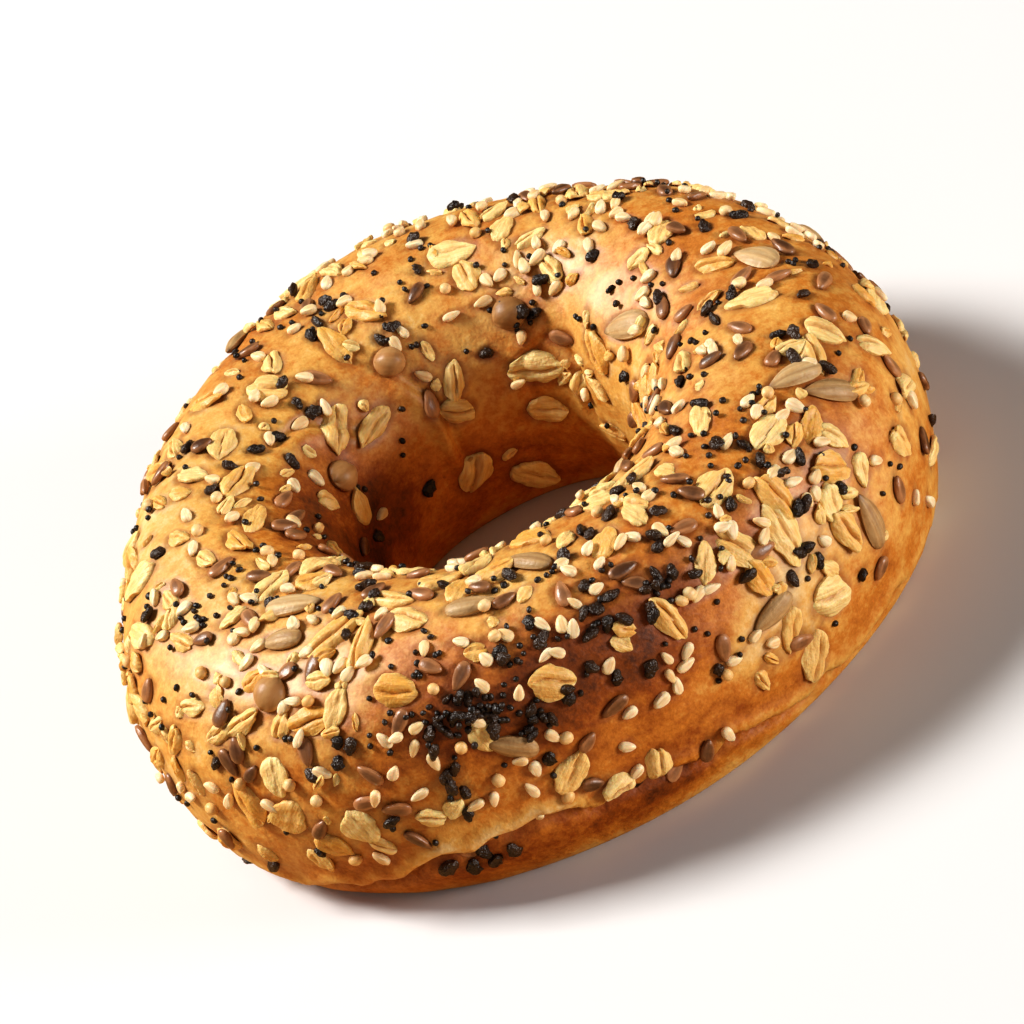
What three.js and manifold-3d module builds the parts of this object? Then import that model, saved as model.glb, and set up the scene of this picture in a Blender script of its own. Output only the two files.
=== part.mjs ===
// A seeded bagel, lying flat on its sole. Millimetres, +Z up.
// The origin is the middle of the bottom of the dough's box.
//
// The dough is one rope bent into a ring. A place on it has two angles:
//   turn   round the ring, anticlockwise from +X
//   round  round the rope: 0 on the outer side, 90 on the crest, 180 in the hole
// Oat flakes, sunflower kernels, large seeds and linseeds are fused to it.

import * as THREE from "three";
import { mergeVertices } from "three/addons/utils/BufferGeometryUtils.js";
import Module from "manifold-3d";

const DEGREE = Math.PI / 180;
const FULL_TURN = 2 * Math.PI;

// ---- Sizes of the dough ----

const RING_RADIUS = 40; // the hole's middle to the rope's middle

// Ten stations, a tenth of a turn apart: the rope's reach outwards and into the hole
// from RING_RADIUS, and its height above the table.
const FIRST_STATION = 18 * DEGREE;
const STATIONS = [
  { outer: 17.0, inner: 18.0, tall: 38.0 },
  { outer: 17.0, inner: 19.0, tall: 38.0 },
  { outer: 19.0, inner: 19.5, tall: 39.0 },
  { outer: 15.5, inner: 19.0, tall: 39.0 },
  { outer: 14.5, inner: 18.5, tall: 39.0 },
  { outer: 20.5, inner: 18.0, tall: 39.5 },
  { outer: 19.5, inner: 18.0, tall: 39.5 },
  { outer: 15.0, inner: 19.5, tall: 39.0 },
  { outer: 15.5, inner: 18.5, tall: 37.5 },
  { outer: 19.0, inner: 18.0, tall: 38.5 },
];

const SOLE_CUT = 5; // how far the round rope would sink below the table
const SOLE_FILLET = 1.6; // height over which the flank rounds into the sole
const FULL_FLANK = 0.11; // how much the section is fuller than an ellipse
const FULL_CROWN = 0.06;

// The rope's two ends overlap: the hole's wall steps back past this turn.
const SEAM = { turn: 41 * DEGREE, softness: 5 * DEGREE, step: 3, fade: 50 * DEGREE };

// Slow swells of the dough: waves round the ring, waves round the rope, phase, share.
const SWELLS = [
  { turns: 2, rounds: 1, phase: 0.5, share: 0.012 },
  { turns: 3, rounds: -2, phase: 2.1, share: 0.01 },
  { turns: 5, rounds: 1, phase: 4.0, share: 0.008 },
  { turns: 7, rounds: 2, phase: 1.0, share: 0.006 },
  { turns: 4, rounds: 3, phase: 5.2, share: 0.006 },
];

const TURN_STEPS = 56;
const ROUND_STEPS = 22;
const SLIVER = 0.02; // shorter edges are dropped after the joining

// ---- Sizes of the toppings ----

const SINK = 0.7; // depth of a topping's root in the dough
const FLAT_TOP = 0.7; // width of a topping's top, as a share of its root
const SPACING = 0.6; // least gap of two middles, as a share of their half lengths
const SEED = 20417;

// The largest first. count includes the stand-outs below.
const KINDS = [
  { name: "flake", count: 122, long: [5.0, 7.8], wide: [3.0, 4.6], tall: 0.9, sides: 6 },
  { name: "kernel", count: 22, long: [6.6, 8.4], wide: [2.8, 3.5], tall: 1.3, sides: 6 },
  { name: "bean", count: 5, long: [4.4, 5.0], wide: [4.0, 4.5], tall: 2.2, sides: 7 },
  { name: "linseed", count: 40, long: [3.9, 4.7], wide: [2.0, 2.4], tall: 0.9, sides: 5 },
];

// Toppings that stand out: turn, round, length, width, heading, all in mm and degrees.
// The heading is taken from the way round the ring towards the crest.
const STAND_OUTS = {
  flake: [
    [264, 35, 6.6, 5.4, 152],
    [261, 0, 7.5, 4.8, 44],
    [272, -14, 5.7, 4, 69],
    [283, 35, 7.5, 4, 98],
    [298, 40, 8.4, 4.8, 106],
    [305, 32, 10.1, 5.3, 80],
    [308, 45, 7.9, 4.4, 88],
    [303, 68, 6.6, 5.3, 4],
    [318, 33, 7, 4.8, 133],
    [317, 64, 7, 4.8, 173],
    [306, -2, 7, 6.2, 161],
    [300, -18, 7.9, 4.8, 59],
    [59, 158, 8.4, 5.3, 175],
    [29, 146, 7, 4.4, 118],
    [77, 205, 8.8, 5.3, 124],
    [96, 190, 7.5, 5.3, 59],
    [121, 149, 7.9, 3.5, 8],
    [150, 100, 6.6, 4.4, 0],
    [131, 106, 6.2, 4.8, 113],
    [230, 80, 9.7, 4.4, 49],
    [236, 74, 8, 3.4, 80],
    [244, 82, 6, 4.4, 155],
    [242, 53, 6.6, 4.8, 167],
    [216, 12, 7.5, 4.8, 120],
    [222, 8, 6.6, 5.7, 54],
    [232, 4, 6.2, 5.3, 110],
    [76, 100, 7.4, 5, 178],
  ],
  kernel: [
    [16, 131, 9, 4, 29],
    [2, 74, 7.5, 4, 32],
    [329, 48, 8.5, 3.2, 122],
    [318, 6, 9, 3.4, 84],
    [217, 91, 8.5, 3.5, 22],
    [268, 94, 8, 3, 138],
  ],
  bean: [
    [221, 55, 5, 4.6, 67],
    [63, 134, 5, 4.4, 20],
    [103, 134, 4.5, 4, 145],
    [144, 151, 5.2, 4.4, 160],
    [104, 12, 4.8, 4.3, 30],
  ],
  linseed: [],
};

// The toppings were pressed on from above: none low on the outer flank or in the hole.
const COVER = { outerBare: -25, outerFull: 10, holeFull: 138, holeBare: 195 };

// Places where flakes lie thicker (share above 0) or thinner (below 0).
const FLAKE_PATCHES = [
  { turn: 195, round: 35, halfTurn: 28, halfRound: 40, share: 0.7 },
  { turn: 316, round: 18, halfTurn: 18, halfRound: 36, share: 0.9 },
  { turn: 85, round: 75, halfTurn: 35, halfRound: 30, share: 0.4 },
  { turn: 262, round: 136, halfTurn: 34, halfRound: 14, share: 0.8 },
  { turn: 266, round: 46, halfTurn: 30, halfRound: 36, share: -0.97 },
  { turn: 276, round: 0, halfTurn: 22, halfRound: 20, share: -0.9 },
  { turn: 350, round: 85, halfTurn: 28, halfRound: 36, share: -0.3 },
];

// ---- Small helpers ----

function randomStream(seed) {
  let state = seed | 0;
  return function draw() {
    state = (state + 0x6d2b79f5) | 0;
    let bits = Math.imul(state ^ (state >>> 15), 1 | state);
    bits = (bits + Math.imul(bits ^ (bits >>> 7), 61 | bits)) ^ bits;
    return ((bits ^ (bits >>> 14)) >>> 0) / 4294967296;
  };
}

function wrap(angle) {
  const shifted = (angle + Math.PI) % FULL_TURN;
  return (shifted < 0 ? shifted + FULL_TURN : shifted) - Math.PI;
}

function smoothStep(from, to, value) {
  const share = Math.min(1, Math.max(0, (value - from) / (to - from)));
  return share * share * (3 - 2 * share);
}

function between([low, high], share) {
  return low + (high - low) * share;
}

// ---- The dough's surface ----

// A smooth curve through the stations' values of one size.
function stationSize(turn, size) {
  const count = STATIONS.length;
  const along = ((turn - FIRST_STATION) / FULL_TURN) * count;
  const index = Math.floor(along);
  const share = along - index;
  const [before, here, next, after] = [-1, 0, 1, 2].map(
    (step) => STATIONS[(((index + step) % count) + count) % count][size],
  );
  const cubic = 3 * (here - next) + after - before;
  const square = 2 * before - 5 * here + 4 * next - after;
  return here + 0.5 * share * (next - before + share * (square + share * cubic));
}

function seamStep(turn) {
  const past = wrap(turn - SEAM.turn);
  const fade = Math.exp(-((past / SEAM.fade) ** 2));
  return -0.5 * SEAM.step * Math.tanh(past / SEAM.softness) * fade;
}

function swell(turn, round) {
  let share = 1;
  for (const wave of SWELLS) {
    share += wave.share * Math.sin(wave.turns * turn + wave.rounds * round + wave.phase);
  }
  return share;
}

// Flattens the section where it would go below the table.
function restOnTable(height) {
  if (height > SOLE_FILLET) return height;
  if (height < -SOLE_FILLET) return 0;
  return (height + SOLE_FILLET) ** 2 / (4 * SOLE_FILLET);
}

function doughPoint(turn, round) {
  const across = Math.cos(round);
  const up = Math.sin(round);
  const tall = stationSize(turn, "tall");
  const halfHeight = (tall + SOLE_CUT) / 2;
  const reach = across >= 0 ? stationSize(turn, "outer") : stationSize(turn, "inner") + seamStep(turn);
  const share = swell(turn, round);
  const radius = RING_RADIUS + reach * across * (1 + FULL_FLANK * up * up) * share;
  const height = tall - halfHeight + halfHeight * up * (1 + FULL_CROWN * across * across) * share;
  return new THREE.Vector3(radius * Math.cos(turn), radius * Math.sin(turn), restOnTable(height));
}

// The two ways along the surface at a place, as mm for each radian, and the normal.
function doughFrame(turn, round) {
  const nudge = 0.01;
  const alongTurn = doughPoint(turn + nudge, round).sub(doughPoint(turn - nudge, round));
  const alongRound = doughPoint(turn, round + nudge).sub(doughPoint(turn, round - nudge));
  alongTurn.divideScalar(2 * nudge);
  alongRound.divideScalar(2 * nudge);
  const normal = alongTurn.clone().cross(alongRound).normalize();
  return { turnSpeed: alongTurn.length(), roundSpeed: alongRound.length(), normal };
}

// ---- Where the toppings lie ----

function cover(turn, round, kind) {
  const degrees = wrap(round - 90 * DEGREE) / DEGREE + 90;
  const outer = smoothStep(COVER.outerBare, COVER.outerFull, degrees);
  const hole = 1 - smoothStep(COVER.holeFull, COVER.holeBare, degrees);
  let thick = 1;
  if (kind.name === "flake") {
    for (const patch of FLAKE_PATCHES) {
      const aside = wrap(turn - patch.turn * DEGREE) / (patch.halfTurn * DEGREE);
      const above = (degrees - patch.round) / patch.halfRound;
      thick += patch.share * 0.5 ** (aside * aside + above * above);
    }
  }
  return outer * hole * thick;
}

const MOST_COVER = 1.8;
const WIDEST = RING_RADIUS + 24;

function isClear(piece, placed) {
  return placed.every((other) => {
    const least = (SPACING * (piece.long + other.long)) / 2;
    return piece.middle.distanceTo(other.middle) > least;
  });
}

function newPiece(kind, turn, round, long, wide, heading) {
  return { kind, turn, round, long, wide, heading, middle: doughPoint(turn, round) };
}

// Every try takes the same six draws, whatever becomes of it.
function scatterToppings() {
  const draw = randomStream(SEED);
  const placed = [];
  for (const kind of KINDS) {
    for (const [turn, round, long, wide, heading] of STAND_OUTS[kind.name]) {
      placed.push(newPiece(kind, turn * DEGREE, round * DEGREE, long, wide, heading * DEGREE));
    }
  }
  for (const kind of KINDS) {
    let left = kind.count - STAND_OUTS[kind.name].length;
    while (left > 0) {
      const [turn, round, luck, long, wide, heading] = Array.from({ length: 6 }, draw);
      const piece = newPiece(
        kind,
        turn * FULL_TURN,
        round * FULL_TURN,
        between(kind.long, long),
        between(kind.wide, wide),
        heading * FULL_TURN,
      );
      const room = Math.hypot(piece.middle.x, piece.middle.y) / WIDEST;
      const chance = (cover(piece.turn, piece.round, kind) * room) / MOST_COVER;
      if (luck < chance && isClear(piece, placed)) {
        placed.push(piece);
        left -= 1;
      }
    }
  }
  return placed;
}

// ---- Solids ----

function doughGeometry() {
  const geometry = new THREE.TorusGeometry(RING_RADIUS, 1, ROUND_STEPS, TURN_STEPS);
  const position = geometry.getAttribute("position");
  for (let index = 0; index < position.count; index += 1) {
    const ring = index % (TURN_STEPS + 1);
    const rope = Math.floor(index / (TURN_STEPS + 1));
    const turn = (ring % TURN_STEPS) * (FULL_TURN / TURN_STEPS);
    const round = (rope % ROUND_STEPS) * (FULL_TURN / ROUND_STEPS);
    const point = doughPoint(turn, round);
    position.setXYZ(index, point.x, point.y, point.z);
  }
  return geometry;
}

// A low faceted lump that follows the dough: a root below the skin and a smaller top.
function toppingGeometry(piece) {
  const { sides, tall } = piece.kind;
  const { turnSpeed, roundSpeed, normal } = doughFrame(piece.turn, piece.round);
  const cosine = Math.cos(piece.heading);
  const sine = Math.sin(piece.heading);
  const place = (along, aside, height) => {
    const turn = piece.turn + (along * cosine - aside * sine) / turnSpeed;
    const round = piece.round + (along * sine + aside * cosine) / roundSpeed;
    return doughPoint(turn, round).addScaledVector(normal, height);
  };
  const points = [];
  for (const [share, height] of [[1, -SINK], [FLAT_TOP, tall]]) {
    for (let side = 0; side < sides; side += 1) {
      const angle = (side / sides) * FULL_TURN;
      const along = (share * piece.long * Math.cos(angle)) / 2;
      const aside = (share * piece.wide * Math.sin(angle)) / 2;
      points.push(place(along, aside, height));
    }
  }
  const faces = [];
  for (let side = 0; side < sides; side += 1) {
    const next = (side + 1) % sides;
    faces.push(side, next, sides + next, side, sides + next, sides + side);
  }
  for (let side = 1; side < sides - 1; side += 1) {
    faces.push(0, side + 1, side);
    faces.push(sides, sides + side, sides + side + 1);
  }
  const geometry = new THREE.BufferGeometry().setFromPoints(points);
  geometry.setIndex(faces);
  return geometry;
}

// ---- Joining ----

const wasm = await Module();
wasm.setup();

function toSolid(geometry) {
  const bare = geometry.clone();
  bare.deleteAttribute("normal");
  bare.deleteAttribute("uv");
  const merged = mergeVertices(bare);
  const mesh = new wasm.Mesh({
    numProp: 3,
    vertProperties: new Float32Array(merged.getAttribute("position").array),
    triVerts: new Uint32Array(merged.getIndex().array),
  });
  return new wasm.Manifold(mesh);
}

function toGeometry(solid) {
  const mesh = solid.getMesh();
  const geometry = new THREE.BufferGeometry();
  geometry.setAttribute("position", new THREE.BufferAttribute(mesh.vertProperties, mesh.numProp));
  geometry.setIndex(new THREE.BufferAttribute(mesh.triVerts, 1));
  geometry.computeVertexNormals();
  return geometry;
}

// The largest shell alone: loose scraps go, and hollows sealed by the fusing are filled.
function largestShell(solid) {
  const shells = solid.decompose();
  shells.sort((a, b) => b.volume() - a.volume());
  return shells[0];
}

function bagelGeometry() {
  const dough = doughGeometry();
  let solid = toSolid(dough);
  for (const piece of scatterToppings()) {
    solid = solid.add(toSolid(toppingGeometry(piece)));
  }
  const geometry = toGeometry(largestShell(solid.simplify(SLIVER)));
  dough.computeBoundingBox();
  const middle = dough.boundingBox.getCenter(new THREE.Vector3());
  geometry.translate(-middle.x, -middle.y, -dough.boundingBox.min.z);
  return geometry;
}

const crust = new THREE.MeshStandardMaterial({ color: 0xc07a35, roughness: 0.45, metalness: 0 });
const bagel = new THREE.Mesh(bagelGeometry(), crust);
bagel.name = "bagel";

const group = new THREE.Group();
group.add(bagel);

export default group;
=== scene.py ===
"""A seeded bagel: a browned crust under oat flakes, kernels and seeds, on a pale stage.

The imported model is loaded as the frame, and every piece is made in that frame, in metres, +Z up.
A place on the dough has two angles: "turn" goes round the ring, anticlockwise from +X, and
"around" goes round the rope, 0 on the outer side, 90 degrees on the crest and 180 in the hole.
"""

import math
from typing import NamedTuple

import bpy
import numpy as np
from bpy.props import FloatProperty, FloatVectorProperty, PointerProperty
from mathutils import Matrix, Vector, noise


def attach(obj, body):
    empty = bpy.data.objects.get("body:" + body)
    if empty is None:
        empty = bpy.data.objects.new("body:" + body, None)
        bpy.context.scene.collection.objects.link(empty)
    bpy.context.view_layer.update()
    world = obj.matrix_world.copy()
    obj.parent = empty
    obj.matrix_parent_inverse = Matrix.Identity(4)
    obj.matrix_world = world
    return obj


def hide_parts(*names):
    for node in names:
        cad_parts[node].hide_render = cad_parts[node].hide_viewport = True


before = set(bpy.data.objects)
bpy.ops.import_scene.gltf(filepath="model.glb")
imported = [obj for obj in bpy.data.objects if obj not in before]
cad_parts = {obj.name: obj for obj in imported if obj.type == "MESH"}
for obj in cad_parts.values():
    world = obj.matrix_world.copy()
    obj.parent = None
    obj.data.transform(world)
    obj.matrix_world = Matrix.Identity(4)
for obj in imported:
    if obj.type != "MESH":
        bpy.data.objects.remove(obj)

bl_info = {
    "name": "Seeded Bagel",
    "version": (1, 0, 0),
    "blender": (4, 5, 0),
    "location": "View3D > Sidebar > Bagel",
    "description": "Models a seeded bagel, its toppings and a pale stage",
    "category": "Add Mesh",
}

MM = 0.001
DEGREE = math.pi / 180
FULL_TURN = 2 * math.pi
CREST = 90  # degrees round the rope
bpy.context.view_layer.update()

# ---- Driving sizes of the dough ----

# Ten stations, a tenth of a turn apart: the rope's reach outwards, its reach into the hole,
# and its height above the table.
FIRST_STATION = 18 * DEGREE
STATIONS = MM * np.array([
    (17.0, 18.0, 38.0),
    (17.0, 19.0, 38.0),
    (19.0, 19.5, 39.0),
    (15.5, 19.0, 39.0),
    (14.5, 18.5, 39.0),
    (20.5, 18.0, 39.5),
    (19.5, 18.0, 39.5),
    (15.0, 19.5, 39.0),
    (15.5, 18.5, 37.5),
    (19.0, 18.0, 38.5),
])
OUTER, INNER, TALL = 0, 1, 2

# Slow swells of the dough: waves round the ring, waves round the rope, phase, share.
SWELLS = [
    (2, 1, 0.5, 0.012),
    (3, -2, 2.1, 0.010),
    (5, 1, 4.0, 0.008),
    (7, 2, 1.0, 0.006),
    (4, 3, 5.2, 0.006),
]

# Cells round the ring and the rope of the coarse dough that the frame was made from.
COARSE_CELLS = (56, 22)


class Patch(NamedTuple):
    """A soft spot on the dough: its middle and half widths in degrees, and how strong it is."""

    turn: float
    around: float
    half_turn: float
    half_around: float
    share: float


class Helping(NamedTuple):
    """One handful of toppings of like size. Lengths are in mm, and spacing is the share of its
    length that each keeps free. Clumps is how far they gather by chance, most_cover is above the
    cover anywhere, and beyond is the cover where there is no patch."""

    kind: str
    count: int
    long: tuple
    wide: tuple
    spacing: float = 0.6
    patches: tuple = ()
    clumps: float = 0.0
    most_cover: float = 1.8
    beyond: float = 1.0


FLAKE_PATCHES = (
    Patch(195, 35, 28, 40, 0.7),
    Patch(316, 18, 18, 36, 0.9),
    Patch(85, 75, 35, 30, 0.4),
    Patch(262, 136, 34, 14, 0.8),
    Patch(266, 46, 30, 36, -0.97),
    Patch(276, 0, 22, 20, -0.9),
    Patch(350, 85, 28, 36, -0.3),
)
LEFT_PATCH = Patch(216, 62, 15, 18, 1.5)
SMALL_FLAKE_PATCHES = (*FLAKE_PATCHES, LEFT_PATCH)
DARK_CLUSTERS = (Patch(252, 38, 4.5, 4, 1.0), Patch(258, 26, 3, 4, 0.4))
DARK_PATCHES = (
    Patch(252, 36, 9, 14, 12.0),
    Patch(286, 56, 14, 18, 5.0),
    Patch(300, 30, 14, 20, 2.5),
    Patch(283, 96, 10, 14, 2.0),
    Patch(132, 120, 14, 18, 2.0),
    Patch(12, 92, 12, 14, 1.5),
    Patch(48, 66, 16, 22, 1.2),
    Patch(234, 88, 9, 12, 1.5),
    Patch(195, 30, 42, 56, -0.9),
    Patch(150, 70, 34, 34, -0.5),
    Patch(90, 60, 40, 26, -0.35),
    Patch(350, 30, 34, 40, -0.7),
)
PALE_PATCHES = (
    Patch(284, 32, 20, 26, 3.6),
    Patch(245, 20, 18, 30, 1.0),
    Patch(60, 90, 30, 30, 0.8),
    Patch(150, 150, 40, 30, -0.5),
    LEFT_PATCH,
)
POPPY_PATCHES = (
    Patch(251, 38, 8, 11, 9.0),
    Patch(250, 56, 14, 18, 4.0),
    Patch(310, 68, 12, 16, 5.0),
    Patch(276, 62, 12, 14, 3.0),
    Patch(196, 84, 14, 16, 4.0),
    Patch(75, 120, 20, 20, 2.0),
)

# The first four helpings are the toppings that the frame's solid has too, by the same rule and
# the same draws. The others are too small for it.
HELPINGS = (
    Helping("flake", 122, (5.0, 7.8), (3.0, 4.6), patches=FLAKE_PATCHES),
    Helping("kernel", 22, (6.6, 8.4), (2.8, 3.5)),
    Helping("bean", 5, (4.4, 5.0), (4.0, 4.5)),
    Helping("linseed", 40, (3.9, 4.7), (2.0, 2.4)),
    Helping("flake", 115, (3.4, 5.4), (2.2, 3.4), 0.5, SMALL_FLAKE_PATCHES, most_cover=2.6),
    Helping("linseed", 110, (3.2, 4.4), (1.8, 2.3), 0.42, (LEFT_PATCH,), 1.5, 3),
    Helping("sesame", 300, (2.2, 3.0), (1.3, 1.8), 0.46, PALE_PATCHES, 1.8, 6),
    Helping("black_sesame", 165, (1.9, 3.0), (1.2, 1.8), 0.42, DARK_PATCHES, 2.5, 13),
    Helping("flake", 165, (1.4, 3.4), (1.0, 2.1), 0.45, SMALL_FLAKE_PATCHES, most_cover=2.6),
    Helping("millet", 48, (1.6, 2.1), (1.5, 2.0), 0.5, PALE_PATCHES),
    Helping("poppy", 380, (0.7, 1.15), (0.7, 1.0), 0.5, POPPY_PATCHES, 2.5, 8),
    Helping("black_sesame", 11, (1.5, 2.4), (1.0, 1.5), 0.35, DARK_CLUSTERS, most_cover=1, beyond=0),
    Helping("poppy", 26, (0.8, 1.2), (0.7, 1.1), 0.45, DARK_CLUSTERS, most_cover=1, beyond=0),
)
CLUMP_SIZE = 9 * MM
CLUMP_STEP = 17.3

# Toppings that stand out: turn, around, length, width and heading, in degrees and mm. The heading
# is taken from the way round the ring towards the crest.
STAND_OUTS = {
    "flake": (
        (264, 35, 6.6, 5.4, 152),
        (261, 0, 7.5, 4.8, 44),
        (272, -14, 5.7, 4, 69),
        (283, 35, 7.5, 4, 98),
        (298, 40, 8.4, 4.8, 106),
        (305, 32, 10.1, 5.3, 80),
        (308, 45, 7.9, 4.4, 88),
        (303, 68, 6.6, 5.3, 4),
        (318, 33, 7, 4.8, 133),
        (317, 64, 7, 4.8, 173),
        (306, -2, 7, 6.2, 161),
        (300, -18, 7.9, 4.8, 59),
        (59, 158, 8.4, 5.3, 175),
        (29, 146, 7, 4.4, 118),
        (77, 205, 8.8, 5.3, 124),
        (96, 190, 7.5, 5.3, 59),
        (121, 149, 7.9, 3.5, 8),
        (150, 100, 6.6, 4.4, 0),
        (131, 106, 6.2, 4.8, 113),
        (230, 80, 9.7, 4.4, 49),
        (236, 74, 8, 3.4, 80),
        (244, 82, 6, 4.4, 155),
        (242, 53, 6.6, 4.8, 167),
        (216, 12, 7.5, 4.8, 120),
        (222, 8, 6.6, 5.7, 54),
        (232, 4, 6.2, 5.3, 110),
        (76, 100, 7.4, 5, 178),
    ),
    "kernel": (
        (16, 131, 9, 4, 29),
        (2, 74, 7.5, 4, 32),
        (329, 48, 8.5, 3.2, 122),
        (318, 6, 9, 3.4, 84),
        (217, 91, 8.5, 3.5, 22),
        (268, 94, 8, 3, 138),
    ),
    "bean": (
        (221, 55, 5, 4.6, 67),
        (63, 134, 5, 4.4, 20),
        (103, 134, 4.5, 4, 145),
        (144, 151, 5.2, 4.4, 160),
        (104, 12, 4.8, 4.3, 30),
    ),
}

# Dark seeds stuck low in the crease at the foot: turn, around, length, width and heading.
STRAYS = {
    "black_sesame": (
        (240, -21, 3.2, 2.0, 15),
        (243, -24, 3.0, 1.9, 70),
        (245, -20, 3.2, 2.0, 130),
        (246, -25, 2.7, 1.8, 40),
        (249, -22, 2.8, 1.8, 95),
        (268, -20, 2.9, 1.9, 160),
        (205, -30, 2.9, 1.9, 35),
    ),
    "linseed": (
        (243, -18, 3.6, 2.0, 150),
        (274, -24, 3.4, 2.0, 20),
        (279, -20, 3.6, 2.1, 60),
    ),
}

# Where the toppings lie, in degrees round the rope: none low on the flank or deep in the hole.
OUTER_BARE, OUTER_FULL = -25, 10
HOLE_FULL, HOLE_BARE = 138, 195
WIDEST = 64 * MM
SEED = 20417


# ---- Random draws ----

WORD = 0xFFFFFFFF
STREAM_STEP = 0x6D2B79F5


def random_stream(seed):
    """A repeatable stream of draws from 0 to 1: a counter whose bits are mixed three times."""
    state = seed & WORD

    def draw():
        nonlocal state
        state = (state + STREAM_STEP) & WORD
        bits = ((state ^ (state >> 15)) * (1 | state)) & WORD
        mixed = ((bits ^ (bits >> 7)) * (61 | bits)) & WORD
        bits = ((bits + mixed) & WORD) ^ bits
        return (bits ^ (bits >> 14)) / (WORD + 1)

    return draw


# ---- The dough's surface ----


def wrap(angle):
    """An angle as -180 to 180 degrees, in radians."""
    return (angle + math.pi) % FULL_TURN - math.pi


def degrees_around(around):
    """An angle round the rope in degrees, from -90 on the table to 270."""
    return wrap(around - CREST * DEGREE) / DEGREE + CREST


def smooth_step(low, high, value):
    """0 at low and 1 at high, soft between them and level beyond."""
    share = np.clip((value - low) / (high - low), 0, 1)
    return share * share * (3 - 2 * share)


def hump(offset, half):
    """1 at no offset, a half at half, and soft beyond."""
    return 0.5 ** (offset / half) ** 2


def add_patches(share, patches, turn, around):
    """The share with every patch added to it where it lies."""
    for patch in patches:
        aside = wrap(turn - patch.turn * DEGREE) / DEGREE
        above = degrees_around(around) - patch.around
        share = share + patch.share * hump(aside, patch.half_turn) * hump(above, patch.half_around)
    return share


NUDGE = 0.01  # radians, between two points that give a slope


class Dough:
    """The bare dough: one rope bent into a ring, flat where it rests on the table."""

    def __init__(self, sizes):
        self.sizes = sizes
        self.middle = np.zeros(3)
        ring, rope = COARSE_CELLS
        turn = np.arange(ring)[:, None] * (FULL_TURN / ring)
        around = np.arange(rope)[None, :] * (FULL_TURN / rope)
        corners = self.point(turn, around).reshape(-1, 3)
        self.middle = (corners.min(axis=0) + corners.max(axis=0)) / 2
        self.middle[2] = corners[:, 2].min()

    def station(self, turn, size):
        """A smooth curve through the stations' values of one size."""
        values = STATIONS[:, size]
        count = len(values)
        along = (turn - FIRST_STATION) / FULL_TURN * count
        index = np.floor(along).astype(int)
        share = along - index
        before, here, after, beyond = (values[(index + step) % count] for step in (-1, 0, 1, 2))
        cubic = 3 * (here - after) + beyond - before
        square = 2 * before - 5 * here + 4 * after - beyond
        return here + 0.5 * share * (after - before + share * (square + share * cubic))

    def seam_step(self, turn):
        """The rope's ends overlap: the hole's wall steps back past the seam."""
        sizes = self.sizes
        past = wrap(turn - sizes.seam_turn)
        fade = np.exp(-((past / sizes.seam_fade) ** 2))
        return -0.5 * sizes.seam_step * np.tanh(past / sizes.seam_softness) * fade

    def point(self, turn, around):
        sizes = self.sizes
        turn, around = np.broadcast_arrays(turn, around)
        across, up = np.cos(around), np.sin(around)
        tall = self.station(turn, TALL)
        half_height = (tall + sizes.sole_cut) / 2
        inner = self.station(turn, INNER) + self.seam_step(turn)
        reach = np.where(across >= 0, self.station(turn, OUTER), inner)
        swell = 1.0
        for turns, rounds, phase, share in SWELLS:
            swell = swell + share * np.sin(turns * turn + rounds * around + phase)
        radius = sizes.ring_radius + reach * across * (1 + sizes.full_flank * up * up) * swell
        crown = up * (1 + sizes.full_crown * across * across) * swell
        height = self.rest_on_table(tall - half_height + half_height * crown)
        return np.stack([radius * np.cos(turn), radius * np.sin(turn), height], axis=-1) - self.middle

    def rest_on_table(self, height):
        fillet = self.sizes.sole_fillet
        rounded = (height + fillet) ** 2 / (4 * fillet)
        return np.where(height > fillet, height, np.where(height < -fillet, 0, rounded))

    def axes(self, turn, around):
        """The two ways along the surface, in metres for each radian, and the normal."""
        ahead, behind = self.point(turn + NUDGE, around), self.point(turn - NUDGE, around)
        above, below = self.point(turn, around + NUDGE), self.point(turn, around - NUDGE)
        along = (ahead - behind) / (2 * NUDGE)
        aside = (above - below) / (2 * NUDGE)
        normal = np.cross(along, aside)
        normal /= np.linalg.norm(normal, axis=-1, keepdims=True)
        return along, aside, normal


# ---- Where the toppings lie ----


class Piece(NamedTuple):
    """One topping: its place and heading in radians, and its size in metres."""

    kind: str
    turn: float
    around: float
    long: float
    wide: float
    heading: float
    middle: np.ndarray


def cover(helping, turn, around):
    """How thickly a helping lies at a place: plainly, more in its patches or less in them."""
    degrees = degrees_around(around)
    outer = smooth_step(OUTER_BARE, OUTER_FULL, degrees)
    hole = 1 - smooth_step(HOLE_FULL, HOLE_BARE, degrees)
    share = add_patches(helping.beyond, helping.patches, turn, around)
    return outer * hole * np.maximum(share, 0)


def clumping(helping, middle):
    """1 where a helping lies evenly, else more in its clumps and less between them."""
    place = Vector(middle) / CLUMP_SIZE + Vector((HELPINGS.index(helping) * CLUMP_STEP, 0, 0))
    return max(0, 1 + helping.clumps * noise.noise(place))


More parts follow.
